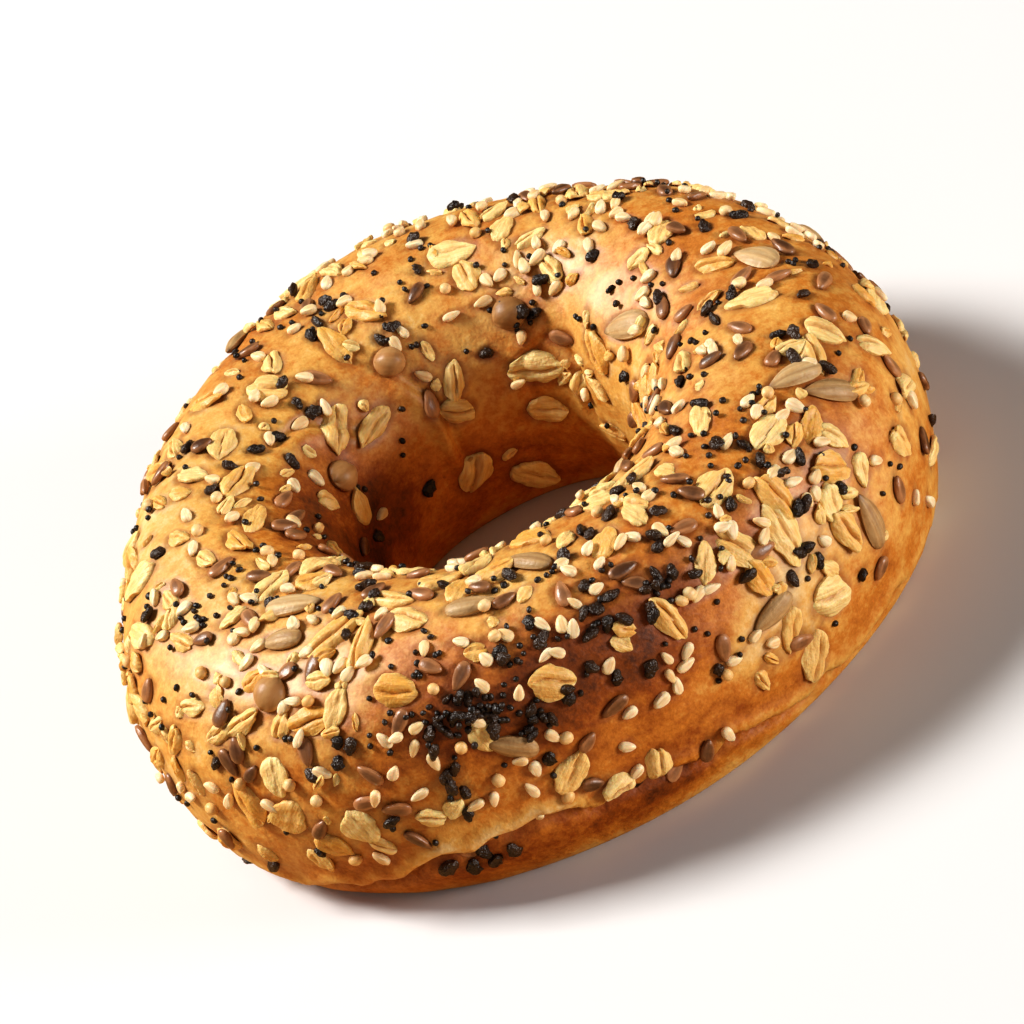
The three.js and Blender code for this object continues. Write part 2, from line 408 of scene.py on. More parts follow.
def scatter_toppings(dough):
    """Every topping in the order it is laid. Every try takes the same six draws."""
    draw = random_stream(SEED)
    placed = []
    most = sum(helping.count for helping in HELPINGS) + sum(map(len, STRAYS.values()))
    middles, lengths = np.empty((most, 3)), np.empty(most)

    def lay(kind, turn, around, long, wide, heading):
        middle = dough.point(turn, around)
        middles[len(placed)] = middle
        lengths[len(placed)] = long
        placed.append(Piece(kind, turn, around, long, wide, heading, middle))

    def is_clear(middle, length, spacing):
        gaps = np.linalg.norm(middles[: len(placed)] - middle, axis=1)
        return bool((gaps > spacing * (length + lengths[: len(placed)]) / 2).all())

    def lay_chosen(chosen):
        for kind, rows in chosen.items():
            for turn, around, long, wide, heading in rows:
                lay(kind, turn * DEGREE, around * DEGREE, long * MM, wide * MM, heading * DEGREE)

    lay_chosen(STAND_OUTS)
    laid = {kind: len(rows) for kind, rows in STAND_OUTS.items()}
    for helping in HELPINGS:
        left = helping.count - laid.pop(helping.kind, 0)
        while left > 0:
            turn, around, luck, long, wide, heading = (draw() for _ in range(6))
            turn *= FULL_TURN
            around *= FULL_TURN
            chance = float(cover(helping, turn, around)) / helping.most_cover
            if luck >= chance:
                continue
            middle = dough.point(turn, around)
            room = math.hypot(*(middle + dough.middle)[:2]) / WIDEST * clumping(helping, middle)
            length = (helping.long[0] + (helping.long[1] - helping.long[0]) * long) * MM
            width = (helping.wide[0] + (helping.wide[1] - helping.wide[0]) * wide) * MM
            if luck < chance * room and is_clear(middle, length, helping.spacing):
                lay(helping.kind, turn, around, length, width, heading * FULL_TURN)
                left -= 1
    lay_chosen(STRAYS)
    return placed


# ---- How the toppings rest ----


class Shape(NamedTuple):
    """How a kind of topping lies: its height and the depth of its root in metres, how much it
    bends with the dough (0 to 1), its steepest lean in degrees, and how many forms it has."""

    tall: float
    sink: float
    bend: float
    lean: float
    forms: int


SHAPES = {
    "flake": Shape(1.15 * MM, 0.3 * MM, 0.8, 7, 10),
    "kernel": Shape(1.9 * MM, 0.6 * MM, 0.3, 5, 2),
    "bean": Shape(3.4 * MM, 1.2 * MM, 0.1, 8, 2),
    "linseed": Shape(1.2 * MM, 0.35 * MM, 0.4, 8, 2),
    "sesame": Shape(1.15 * MM, 0.3 * MM, 0.3, 10, 2),
    "black_sesame": Shape(1.3 * MM, 0.35 * MM, 0.3, 14, 4),
    "millet": Shape(1.7 * MM, 0.5 * MM, 0.0, 0, 1),
    "poppy": Shape(0.9 * MM, 0.25 * MM, 0.0, 0, 1),
}
STACKED_SHARE = 0.7  # of the lower topping's height, because the upper one leans and sinks
LOWER_REACH, UPPER_REACH = 0.4, 0.2  # how near two middles are to stack, of the toppings' lengths
DOMING = 0.5  # how much lower a topping is at its edge than in its middle
HIGHEST_LIFT = 1.5 * MM
NEIGHBOURS = 6 * MM


def resting_lifts(placed):
    """How far each topping is lifted by the earlier ones that lie under its middle."""
    middles = np.array([piece.middle for piece in placed])
    lifts = np.zeros(len(placed))
    for index, piece in enumerate(placed):
        gaps = np.linalg.norm(middles[:index] - piece.middle, axis=1)
        for under in np.flatnonzero(gaps < NEIGHBOURS):
            other = placed[under]
            away = gaps[under] / (other.long * LOWER_REACH + piece.long * UPPER_REACH)
            if away < 1:
                shape = SHAPES[other.kind]
                top = lifts[under] + (shape.tall - shape.sink) * (1 - DOMING * away * away)
                lifts[index] = max(lifts[index], top * STACKED_SHARE)
    return np.minimum(lifts, HIGHEST_LIFT)


class Plan:
    """The dough and all that lies on it, worked out once for every operator."""

    def __init__(self, sizes):
        self.dough = Dough(sizes)
        self.placed = scatter_toppings(self.dough)
        self.lifts = resting_lifts(self.placed)


plans = []


def the_plan(context):
    """The one plan, made from the scene's settings when it is first asked for."""
    if not plans:
        plans.append(Plan(context.scene.bagel_dough))
    return plans[0]


# ---- The crust's relief ----


class Groove(NamedTuple):
    """A fold of the skin from one place to another: places in degrees, sizes in mm."""

    start: tuple
    end: tuple
    depth: float
    width: float
    lip: float


FOLDS = (
    Groove((149, 116), (122, 146), 0.9, 1.5, 0.7),
    Groove((101, 140), (94, 186), 0.9, 1.4, 0.7),
    Groove((47, 150), (40, 186), 1.0, 1.3, 0.5),
    Groove((52, 138), (66, 168), 0.4, 1.0, 0.3),
    Groove((205, 120), (222, 128), 0.4, 1.2, 0.3),
)

# A fold lies in the hole, nearer to its middle than the ring's radius.
FOLD_RADIUS_SHARE = 0.75
ROPE_RADIUS = 19 * MM
FOLD_WOBBLE = 0.9 * MM
FOLD_WINDING, FOLD_PHASE = 7, 9  # radians from end to end, and for each mm of its depth
FOLD_START, FOLD_STOP = (-0.15, 0.2), (0.8, 1.15)  # shares of its length over which it fades
FOLD_LIP_ASIDE = 1.4  # of its width

# How far round the ring the crease low on the front reaches, and over what part of it it rises,
# in degrees, and its ragged line: waves round the ring, phase and height.
CREASE_HALF_TURN = 58
CREASE_RISE_HALF_TURN = 24
CREASE_WAVES = ((9, 1.0, 0.5 * MM), (23, 0.0, 0.6 * MM), (41, 0.0, 0.4 * MM), (61, 2.0, 0.3 * MM))
CREASE_HALF_WIDTH = 0.7 * MM
LIP_ABOVE, LIP_HALF_WIDTH, LIP_SHARE = 2.0 * MM, 1.1 * MM, 0.5

BROAD_LUMPS, SMALL_LUMPS = 9 * MM, 3.4 * MM
SMALL_LUMP_SHARE = 0.4
SOLE_FADE = (0.2 * MM, 2.5 * MM)
FIELD_STEPS = (3.7, 1.3, 2.9)


def noise_field(points, size, seed):
    """Smooth noise from -1 to 1 with lumps of that size in metres."""
    offset = Vector([seed * step for step in FIELD_STEPS])
    return np.array([noise.noise(Vector(point) / size + offset) for point in points])


def fold_relief(turn, around, fold, sizes):
    """A wavering groove with a lip on its crest side, fading at both ends."""
    start, end = np.array(fold.start) * DEGREE, np.array(fold.end) * DEGREE
    scale = np.array([sizes.ring_radius * FOLD_RADIUS_SHARE, ROPE_RADIUS])
    line = (end - start) * scale
    length = np.linalg.norm(line)
    way = line / length
    offset = np.stack([wrap(turn - start[0]), wrap(around - start[1])], axis=-1) * scale
    along = offset @ way / length
    wobble = FOLD_WOBBLE * np.sin(along * FOLD_WINDING + fold.depth * FOLD_PHASE)
    beside = offset @ np.array([-way[1], way[0]]) + wobble
    ends = smooth_step(*FOLD_START, along) * (1 - smooth_step(*FOLD_STOP, along))
    groove = -fold.depth * hump(beside, fold.width * MM / 2)
    lip = fold.lip * hump(beside + fold.width * FOLD_LIP_ASIDE * MM, fold.width * MM)
    return MM * (groove + lip) * ends


def foot_crease(turn, around, points, sizes):
    """The ragged crease low on the front, where the flank swelled over the sole in the oven: its
    groove and the torn lip above it as masks."""
    beside = wrap(turn - sizes.crease_turn) / DEGREE
    strength = hump(beside, CREASE_HALF_TURN) * (np.abs(degrees_around(around)) < CREST)
    ragged = sum(height * np.sin(waves * turn + phase) for waves, phase, height in CREASE_WAVES)
    line = sizes.crease_height + sizes.crease_rise * hump(beside, CREASE_RISE_HALF_TURN) + ragged
    above = points[:, 2] - line
    groove = strength * hump(above, CREASE_HALF_WIDTH)
    return groove, strength * hump(above - LIP_ABOVE, LIP_HALF_WIDTH)


def skin_relief(turn, around, points, sizes):
    """How far the skin stands off the bare dough, in metres, falling away at the sole."""
    broad = noise_field(points, BROAD_LUMPS, 1)
    small = noise_field(points, SMALL_LUMPS, 2)
    relief = sizes.lump_height * (broad + SMALL_LUMP_SHARE * small)
    groove, lip = foot_crease(turn, around, points, sizes)
    relief = relief + sizes.crease_depth * (LIP_SHARE * lip - groove)
    for fold in FOLDS:
        relief = relief + fold_relief(turn, around, fold, sizes)
    return relief * smooth_step(*SOLE_FADE, points[:, 2])


def heading_axes(dough, piece):
    """A topping's lengthwise and crosswise ways on the dough, as unit vectors."""
    along, aside, _ = dough.axes(piece.turn, piece.around)
    along = along / np.linalg.norm(along)
    aside = aside / np.linalg.norm(aside)
    cosine, sine = math.cos(piece.heading), math.sin(piece.heading)
    return along * cosine + aside * sine, aside * cosine - along * sine


SMALLEST_DIMPLE = 1.5 * MM
MOST_DIMPLED_LIFT = 0.5 * MM
DIMPLE_REACH = 0.9  # of a topping's length
DIMPLE_EDGE = (0.3 * MM, -0.5 * MM)  # beyond and inside the topping's outline
RIM_PLACE, RIM_HALF_WIDTH, RIM_SHARE = 0.5 * MM, 0.35 * MM, 0.25
# Painted shade, with some browning, reaches this far out from a topping's edge.
SHADE_AND_BROWNING_HALF_WIDTH = 0.32 * MM


def topping_marks(points, plan):
    """Dimples under the larger toppings, and how near the skin is to a topping's edge, which sets the
    painted shade and browning round it.
    """
    depth = plan.dough.sizes.dimple_depth
    dimples = np.zeros(len(points))
    shades_and_browning = np.zeros(len(points))
    for piece, lift in zip(plan.placed, plan.lifts):
        if piece.long < SMALLEST_DIMPLE or lift > MOST_DIMPLED_LIFT:
            continue
        near = np.flatnonzero(np.abs(points - piece.middle).max(axis=1) < DIMPLE_REACH * piece.long)
        offset = points[near] - piece.middle
        along, aside = heading_axes(plan.dough, piece)
        reach = np.hypot(offset @ along / (piece.long / 2), offset @ aside / (piece.wide / 2))
        edge = (reach - 1) * piece.wide / 2
        rim = hump(edge - RIM_PLACE, RIM_HALF_WIDTH)
        dimple = depth * (RIM_SHARE * rim - smooth_step(*DIMPLE_EDGE, edge))
        dimples[near] = np.where(np.abs(dimple) > np.abs(dimples[near]), dimple, dimples[near])
        # Painted shade, with some browning, on the skin close round the topping's edge.
        shades_and_browning[near] = np.maximum(shades_and_browning[near], hump(np.maximum(edge, 0), SHADE_AND_BROWNING_HALF_WIDTH))
    return dimples, shades_and_browning


# How brown the crust is at each place, beyond the share that every place has. Most patches are its
# baking; those marked below paint shade or a sheen into it.
PLAIN_TOAST = 0.38
TOAST_AND_LIGHT_PATCHES = (
    Patch(259, 34, 20, 20, 0.48),
    Patch(282, 20, 16, 24, 0.20),
    # Partly painted shade, low on the far wall of the hole.
    Patch(90, 200, 70, 22, 0.18),
    # Painted shade deep in the hole.
    Patch(148, 176, 24, 16, 0.6),
    # Painted shade on the hole's inner left wall.
    Patch(166, 140, 20, 14, 0.16),
    # Painted shade deep in the hole.
    Patch(205, 165, 40, 30, 0.18),
    Patch(60, 70, 26, 18, 0.08),
    Patch(172, 80, 26, 24, -0.12),
    Patch(318, 46, 18, 28, 0.1),
    Patch(256, -26, 45, 15, 0.36),
    # Painted shade on the hole's inner left wall.
    Patch(192, 146, 32, 18, 0.32),
    Patch(4, 66, 30, 34, 0.13),
    Patch(250, 106, 30, 14, 0.05),
    # Paler spots low on the right flank, partly a painted sheen: this one and the next.
    Patch(304, 16, 8, 11, -0.34),
    Patch(292, 3, 7, 8, -0.26),
    Patch(286, 62, 16, 18, 0.1),
    Patch(222, 106, 16, 16, -0.14),
)
# Painted bounce light from below: the crust is paler low on the flank.
SOLE_PAINTED_BOUNCE = -0.12
SOLE_HEIGHT = 6 * MM
LIP_TOAST = -0.36


def toasting_and_painted_light(turn, around, points, sizes):
    """How brown the crust is at each place, from 0 to 1, with painted shade in the hole, a partly
    painted sheen on the right flank and painted bounce light low on the flank.
    """
    toast = add_patches(PLAIN_TOAST, TOAST_AND_LIGHT_PATCHES, turn, around)
    toast += SOLE_PAINTED_BOUNCE * (1 - smooth_step(0, SOLE_HEIGHT, points[:, 2]))
    toast += LIP_TOAST * foot_crease(turn, around, points, sizes)[1]
    return np.clip(toast, 0, 1)


# ---- Modelling helpers ----


def deselect_all():
    for piece in bpy.context.selected_objects:
        piece.select_set(False)


def read_points(piece):
    points = np.empty(len(piece.data.vertices) * 3)
    piece.data.vertices.foreach_get("co", points)
    return points.reshape(-1, 3)


def write_points(piece, points):
    piece.data.vertices.foreach_set("co", points.ravel())
    piece.data.update()


def write_attribute(mesh, name, values):
    attribute = mesh.attributes.new(name, "FLOAT", "POINT")
    attribute.data.foreach_set("value", np.asarray(values, np.float32))


def read_attribute(mesh, name):
    values = np.empty(len(mesh.vertices), np.float32)
    mesh.attributes[name].data.foreach_get("value", values)
    return values


UNDERSIDE = 0.1  # only a slab's underside is lower


def select_faces(piece, is_wanted):
    """Enters edit mode with the faces selected for which is_wanted is true."""
    bpy.ops.object.mode_set(mode="EDIT")
    bpy.ops.mesh.select_mode(type="FACE")
    bpy.ops.mesh.select_all(action="DESELECT")
    bpy.ops.object.mode_set(mode="OBJECT")
    for face in piece.data.polygons:
        face.select = bool(is_wanted(face))
    bpy.ops.object.mode_set(mode="EDIT")


def finish_edit():
    """Turns every face outwards and leaves edit mode."""
    bpy.ops.mesh.select_all(action="SELECT")
    bpy.ops.mesh.normals_make_consistent(inside=False)
    bpy.ops.object.mode_set(mode="OBJECT")


def settle_piece(piece, name, material):
    """Names a finished piece, gives it its finish and ties it to the frame."""
    piece.name = name
    piece.data.name = name
    piece.data.materials.clear()
    piece.data.materials.append(material)
    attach(piece, "root")
    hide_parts("bagel")


# ---- The forms of the toppings ----


def ball(segments, rings):
    """A unit ball whose poles lie lengthwise, on X."""
    deselect_all()
    bpy.ops.mesh.primitive_uv_sphere_add(segments=segments, ring_count=rings, radius=1)
    piece = bpy.context.object
    bpy.ops.object.mode_set(mode="EDIT")
    bpy.ops.mesh.select_all(action="SELECT")
    bpy.ops.transform.rotate(value=math.pi / 2, orient_axis="Y", center_override=(0, 0, 0))
    finish_edit()
    return piece


def slab(long_cells, wide_cells):
    """A square sheet from -1 to 1, raised into a closed slab from 0 to 1 with a plain underside."""
    deselect_all()
    bpy.ops.mesh.primitive_grid_add(x_subdivisions=long_cells, y_subdivisions=wide_cells, size=2)
    piece = bpy.context.object
    bpy.ops.object.mode_set(mode="EDIT")
    bpy.ops.mesh.select_all(action="SELECT")
    bpy.ops.mesh.extrude_region_move(TRANSFORM_OT_translate={"value": (0, 0, 1)})
    select_faces(piece, lambda face: face.center.z < UNDERSIDE)
    bpy.ops.mesh.dissolve_faces()
    finish_edit()
    return piece


def write_form(piece, along, aside, height, mark):
    """Gives a form its points, whose heights run from 0 to 1, and its marks."""
    write_points(piece, np.stack([along, aside, height], axis=-1))
    write_attribute(piece.data, "mark", mark)
    return piece


class Rolled(NamedTuple):
    """How an oat flake came out of the rollers, as shares of its half width or its height."""

    point: float = 0.0
    notch: float = 0.0
    chip: float = 0.0
    scallops: float = 0.0
    crease: float = 0.0
    shift: float = 0.0
    reach: tuple = (-1.1, 1.1)
    rim: float = 0.0
    fold: float = 0.0


ROLLED = (
    Rolled(0.08, crease=0.75, reach=(-1.1, 0.9)),
    Rolled(0.05, notch=0.25, crease=0.6, shift=0.08, reach=(-0.4, 1.2)),
    Rolled(0.16, crease=0.6, shift=-0.14, fold=0.12),
    Rolled(0.0, chip=0.12, rim=0.1, crease=0.12, fold=0.08),
    Rolled(0.04, scallops=0.12, rim=0.1),
    Rolled(0.1, crease=0.35, shift=0.22, rim=0.15),
    Rolled(0.1, notch=0.12, chip=0.14, crease=0.55, reach=(-0.3, 1.1)),
    Rolled(0.12, crease=0.8, shift=-0.05, fold=-0.1, reach=(-1.1, 0.8)),
    Rolled(0.12, chip=0.08, rim=0.1, crease=0.25, shift=-0.1, reach=(-0.5, 0.9)),
    Rolled(0.06, crease=0.65, shift=0.1, reach=(-0.9, 0.7)),
)
FLAKE_CELLS, BIT_CELLS = (12, 12), (6, 6)
CROWDING = 1.5  # draws the slab's rows together towards the crease

# The flake's outline: waves and their height, where it is notched or chipped, and its taper.
OUTLINE_WAVES = ((2, 0.04), (3, 0.05), (5, 0.034), (8, 0.024), (11, 0.018))
NOTCH_ANGLE, NOTCH_HALF = 0.1, 0.12
CHIP_ANGLE, CHIP_HALF = -2.4, 0.4
SCALLOP_WAVES = 3.5
TAPER_START, END_TAPER = -0.4, 0.12

# The line of its crease, and the heights of its face, as shares of its half width or height.
MOST_BOW, WAVER, CREASE_END = 0.35, 0.05, 0.3
CREASE_SINK, CREASE_HALF = 0.6, 0.075
EDGE_HEIGHT, PILLOW_HEIGHT = 0.42, 0.42
LOBE_HEIGHT, LOBE_ASIDE, LOBE_HALF = 0.34, 0.38, 0.26
RIM_REACH, RIM_HALF, HOLLOW_DEPTH, HOLLOW_HALF = 0.85, 0.12, 0.5, 0.45
FOLD_SHARPNESS = 8
PILLOW_SIDE, PILLOW_TOP, FLAT_TOP = 2.6, 0.7, 4  # powers that round them off
WRINKLE_HEIGHT, FINE_WRINKLE_HEIGHT = 0.07, 0.05
CURL, ARCH = 0.3, 0.12

# Its ripples, in radians: along it, across it, and the most by which a draw moves them.
WAVER_RIPPLE = (5, 0, 6)
BROAD_RIPPLE, LONG_RIPPLE, FINE_RIPPLE = (2.5, 10, 5), (4, 0, 3), (7, 3, 6)

# How dark it is in its crease, in its middle and at its thin edge, and on its sides below its face,
# where the darkness is painted shade with some toasting.
CREASE_SHADE, DARKEST_SHADE, SHADE_HALF = 1.3, 0.8, 0.06
MIDDLE_SHADE, MIDDLE_HALF = 0.12, 0.35
EDGE_SHADE, EDGE_START = 0.5, 0.75
SIDE_SHADE_AND_TOAST = 0.6


def flake_outline(rolled, x, y, draw):
    """How far the flake's edge stands out each way, as a share of a plain oval's."""
    angle = np.arctan2(y, x)
    outline = np.ones(len(x))
    for waves, height in OUTLINE_WAVES:
        outline = outline + height * np.sin(waves * angle + FULL_TURN * draw())
    outline = outline - rolled.notch * hump(angle - NOTCH_ANGLE, NOTCH_HALF)
    outline = outline - rolled.chip * hump(wrap(angle - CHIP_ANGLE), CHIP_HALF)
    return outline + rolled.scallops * np.abs(np.sin(SCALLOP_WAVES * angle)) * (y > 0)


def ripple(waves, x, y, draw):
    """A wave from -1 to 1 over the flake, moved by a draw."""
    along, across, most_shift = waves
    return np.sin(along * x + across * y + most_shift * draw())


def flake_relief(rolled, x, y, reach, beside, ends, draw):
    """The flake's raised face: a pillow with two lobes, a crease, a rim and soft wrinkles."""
    crease = CREASE_SINK * ends * hump(beside, CREASE_HALF)
    pillow = np.maximum(1 - reach**PILLOW_SIDE, 0) ** PILLOW_TOP
    pillow = EDGE_HEIGHT + PILLOW_HEIGHT * pillow
    level = 1 - reach**FLAT_TOP
    lobe_line = hump(np.abs(beside) - LOBE_ASIDE, LOBE_HALF)
    lobes = LOBE_HEIGHT * rolled.crease * lobe_line * np.maximum(level, 0)
    rim = hump(reach - RIM_REACH, RIM_HALF) - HOLLOW_DEPTH * hump(reach, HOLLOW_HALF)
    fold = rolled.fold * np.tanh(FOLD_SHARPNESS * beside) * level
    broad = ripple(BROAD_RIPPLE, x, y, draw) * ripple(LONG_RIPPLE, x, y, draw)
    fine = ripple(FINE_RIPPLE, x, y, draw)
    wrinkles = WRINKLE_HEIGHT * broad + FINE_WRINKLE_HEIGHT * fine
    return pillow + lobes + rolled.rim * rim + fold + wrinkles - rolled.crease * crease


def rolled_oat(rolled, draw, cells):
    """An oval flake with two soft lobes, a crease between them and a thin uneven edge."""
    piece = slab(*cells)
    square_x, square_y, top = read_points(piece).T
    square_y = np.sign(square_y) * np.abs(square_y) ** CROWDING
    x = square_x * np.sqrt(1 - square_y**2 / 2)
    y = square_y * np.sqrt(1 - square_x**2 / 2)
    reach = np.hypot(x, y)
    outline = flake_outline(rolled, x, y, draw)
    narrow = 1 - rolled.point * (x - TAPER_START) * np.abs(x) - END_TAPER * x * x
    bow = MOST_BOW * (draw() - 0.5)
    waver = WAVER * ripple(WAVER_RIPPLE, x, y, draw)
    beside = y - rolled.shift - bow * (1 - x**2) + waver
    first, last = rolled.reach
    ends = smooth_step(first, first + CREASE_END, x)
    ends = ends * (1 - smooth_step(last - CREASE_END, last, x))
    raised = flake_relief(rolled, x, y, reach, beside, ends, draw)
    curl = CURL * reach**3 * np.cos(2 * np.arctan2(y, x) + FULL_TURN * draw()) + ARCH * x**2
    is_top = top > UNDERSIDE
    height = np.where(is_top, raised, 0.0) + curl
    along, aside = x * outline, y * outline * narrow
    along, aside = along / np.abs(along).max(), aside / np.abs(aside).max()
    in_crease = ends * hump(beside, SHADE_HALF) * min(DARKEST_SHADE, CREASE_SHADE * rolled.crease)
    shade = np.clip(in_crease + MIDDLE_SHADE * hump(reach, MIDDLE_HALF), 0, 1)
    shade = shade - EDGE_SHADE * smooth_step(EDGE_START, 1.0, reach)
    # The flake's sides below its face are darker, as painted shade with some toasting.
    return write_form(piece, along, aside, height, np.where(is_top, shade, SIDE_SHADE_AND_TOAST))


KERNEL_CELLS = (18, 12)
KERNEL_WIDTH, KERNEL_TAPER = 1.02, 0.3
POINT_START, POINT_SHARE = 0.35, 0.25
RIBS, RIB_HEIGHT, GROOVE_SHADE = 7, 0.05, 0.4
KERNEL_BEND, FIRST_BEND, DROOP = 0.12, 0.4, 0.4
KERNEL_EDGE = 0.12  # how much thinner it is at its sides
TIP_START, BLUNT_START, BLUNT_SHADE = 0.7, -0.85, 0.5


def sunflower_kernel(form):
    """A long drop, blunt at one end and pointed at the other, with fine ribs."""
    piece = ball(*KERNEL_CELLS)
    along, aside, up = read_points(piece).T
    rib_wave = np.sin(RIBS * np.arctan2(up, aside) + form)
    point = 1 - POINT_SHARE * smooth_step(POINT_START, 1, along)
    girth = (KERNEL_WIDTH - KERNEL_TAPER * along) * point
    ribs = 1 + RIB_HEIGHT * rib_wave
    bend = KERNEL_BEND * (form + FIRST_BEND) * along * along
    height = 0.5 + 0.5 * up * girth * ribs * (1 - KERNEL_EDGE * np.abs(aside)) - bend * DROOP
    blunt = BLUNT_SHADE * smooth_step(BLUNT_START, -1, along)
    tips = np.maximum(smooth_step(TIP_START, 1, along), blunt)
    grooves = GROOVE_SHADE * (0.5 - 0.5 * rib_wave)
    return write_form(piece, along, aside * girth * ribs + bend, height, np.maximum(tips, grooves))


LARGE_SEED_CELLS = (18, 14)
SQUARED, CORNERS, END_WAVES = 0.05, 4, 3
SEAM_DEPTH, SEAM_HALF_WIDTH, SEAM_SHADE = 0.05, 0.1, 0.4
SCAR_START = 0.7


def large_seed(form):
    """A round, slightly squared seed with a pale scar at one end; every second has a seam."""
    piece = ball(*LARGE_SEED_CELLS)
    along, aside, up = read_points(piece).T
    squared = 1 + SQUARED * np.cos(CORNERS * np.arctan2(up, aside))
    squared = squared + SQUARED * np.cos(END_WAVES * along + form)
    seam = form * hump(aside, SEAM_HALF_WIDTH)
    height = 0.5 + 0.5 * up * squared - SEAM_DEPTH * seam * (up > 0)
    mark = SEAM_SHADE * seam - smooth_step(SCAR_START, 1, along)
    return write_form(piece, along * squared, aside * squared, height, mark)


class Drop(NamedTuple):
    """The shape of a small seed: how narrow one end is, how crumpled its skin is, how far its
    section has three corners, how pale its rim and how dark its middle and its tip are, and how
    flat its broad sides are."""

    point: float
    wrinkle: float = 0.0
    corners: float = 0.0
    rim: float = 0.0
    middle: float = 0.0
    tip: float = 0.0
    flat: float = 0.6
    cells: tuple = (10, 7)


DROPS = {
    "sesame": Drop(0.34, 0.015, rim=0.8, middle=0.35, tip=0.5, flat=1.8),
    "black_sesame": Drop(0.2, 0.24, 0.12, middle=0.3),
    "linseed": Drop(0.3, rim=1.0, middle=0.75, tip=0.6, flat=1.2),
    "millet": Drop(0.05, 0.03, tip=0.6, cells=(8, 6)),
    "poppy": Drop(0.08, 0.1, cells=(7, 5)),
}
DROP_WIDTH, TAPER_MIDDLE, SLIMMER = 1.06, -0.15, 0.1
DROP_HEIGHT, HEIGHT_TAPER = 0.95, 0.3
WAVES_ALONG, WAVES_ASIDE, WAVES_UP = 8, 6, 5
MARK_HALF, DROP_RIM, DROP_RIM_HALF, DROP_TIP = 0.5, 0.9, 0.12, 0.75


def drop_seed(form, draw, drop):
    """A flat drop that lies on its broad side; every second is slimmer."""
    piece = ball(*drop.cells)
    along, aside, up = read_points(piece).T
    first, second = FULL_TURN * draw(), FULL_TURN * draw()
    girth = DROP_WIDTH - drop.point * (along - TAPER_MIDDLE) - SLIMMER * (form % 2)
    crossing = np.cos(WAVES_ASIDE * aside + WAVES_UP * up + second)
    crumple = 1 + drop.wrinkle * np.sin(WAVES_ALONG * along + first) * crossing
    three_corners = np.cos(3 * np.arctan2(up, aside) + first)
    crumple = crumple * (1 + drop.corners * three_corners)
    flat_up = np.tanh(drop.flat * up) / np.tanh(drop.flat)
    taper = DROP_HEIGHT - HEIGHT_TAPER * drop.point * along
    height = 0.5 + 0.5 * flat_up * taper * crumple
    across = np.hypot(along, aside)
    rim = drop.rim * hump(across - DROP_RIM, DROP_RIM_HALF) * (up > 0)
    mark = drop.middle * hump(across, MARK_HALF) - rim + drop.tip * smooth_step(DROP_TIP, 1, along)
    return write_form(piece, along, aside * girth * crumple, height, mark)


def model_form(kind, form, draw):
    """One topping of a kind, 2 long, 2 wide and 1 high, by the number of its form."""
    if kind == "flake":
        return rolled_oat(ROLLED[form], draw, FLAKE_CELLS)
    if kind == "kernel":
        return sunflower_kernel(form)
    if kind == "bean":
        return large_seed(form)
    return drop_seed(form, draw, DROPS[kind])


def model_forms(kind):
    """A kind's few forms, and the ones with fewer faces that its broken bits take."""
    draw = random_stream(SEED + sum(map(ord, kind)))
    numbers = range(SHAPES[kind].forms)
    forms = [model_form(kind, number, draw) for number in numbers]
    if kind != "flake":
        return forms, forms
    return forms, [rolled_oat(ROLLED[number], draw, BIT_CELLS) for number in numbers]


# ---- Laying the toppings ----

# The piece that each kind makes, and the record's slot for it.
PIECES = {
    "flake": ("oat_flakes", "oat_flake"),
    "kernel": ("sunflower_kernels", "sunflower_kernel"),
    "bean": ("large_seeds", "brown_seed"),
    "linseed": ("linseeds", "brown_seed"),
    "sesame": ("white_sesame", "pale_seed"),
    "black_sesame": ("black_sesame", "black_seed"),
    "millet": ("millet", "pale_seed"),
    "poppy": ("poppy_seeds", "black_seed"),
}
SMOOTH_ANGLE = 50 * DEGREE
LOOK_STEP = 977  # between the seeds of two toppings' looks
SMALL_FLAKE = 3.8 * MM  # shorter flakes are broken bits, with fewer faces
LARGE_FLAKE = 7 * MM  # flakes this long have their full height
PATTERN_STEP = 20 * MM  # between two toppings' places on the pattern of fibres
PATTERN_TILE = 10 * MM


def copy_forms(kind, plan):
    """Every topping of a kind in its own lengths, widths and heights, as columns with a value
    for each point, and the faces."""
    shape = SHAPES[kind]
    forms, bits = model_forms(kind)
    steepest = 2 * math.tan(shape.lean * DEGREE)
    rows, faces = [], []
    start = 0
    for index, piece in enumerate(plan.placed):
        if piece.kind != kind:
            continue
        look = random_stream(SEED + LOOK_STEP * (index + 1))
        choice = bits if piece.long < SMALL_FLAKE else forms
        form = choice[int(look() * len(choice))]
        tint, lean_along, lean_aside = look(), look() - 0.5, look() - 0.5
        points = read_points(form)
        along = points[:, 0] * piece.long / 2
        aside = points[:, 1] * piece.wide / 2
        thickness = shape.tall
        if kind == "flake":
            thickness *= min(1, 0.5 + piece.long / (2 * LARGE_FLAKE))
        up = points[:, 2] * thickness - shape.sink + plan.lifts[index]
        rows.append({
            "owner": np.full(len(points), index),
            "along": along,
            "aside": aside,
            "up": up + steepest * (along * lean_along + aside * lean_aside),
            "mark": read_attribute(form.data, "mark"),
            "tint": np.full(len(points), tint),
            "u": (along + PATTERN_STEP * index) / PATTERN_TILE,
            "v": (aside + PATTERN_STEP * index) / PATTERN_TILE,
        })
        faces += [[start + corner for corner in face.vertices] for face in form.data.polygons]
        start += len(points)
    for form in {*forms, *bits}:
        bpy.data.objects.remove(form)
    return {key: np.concatenate([row[key] for row in rows]) for key in rows[0]}, faces


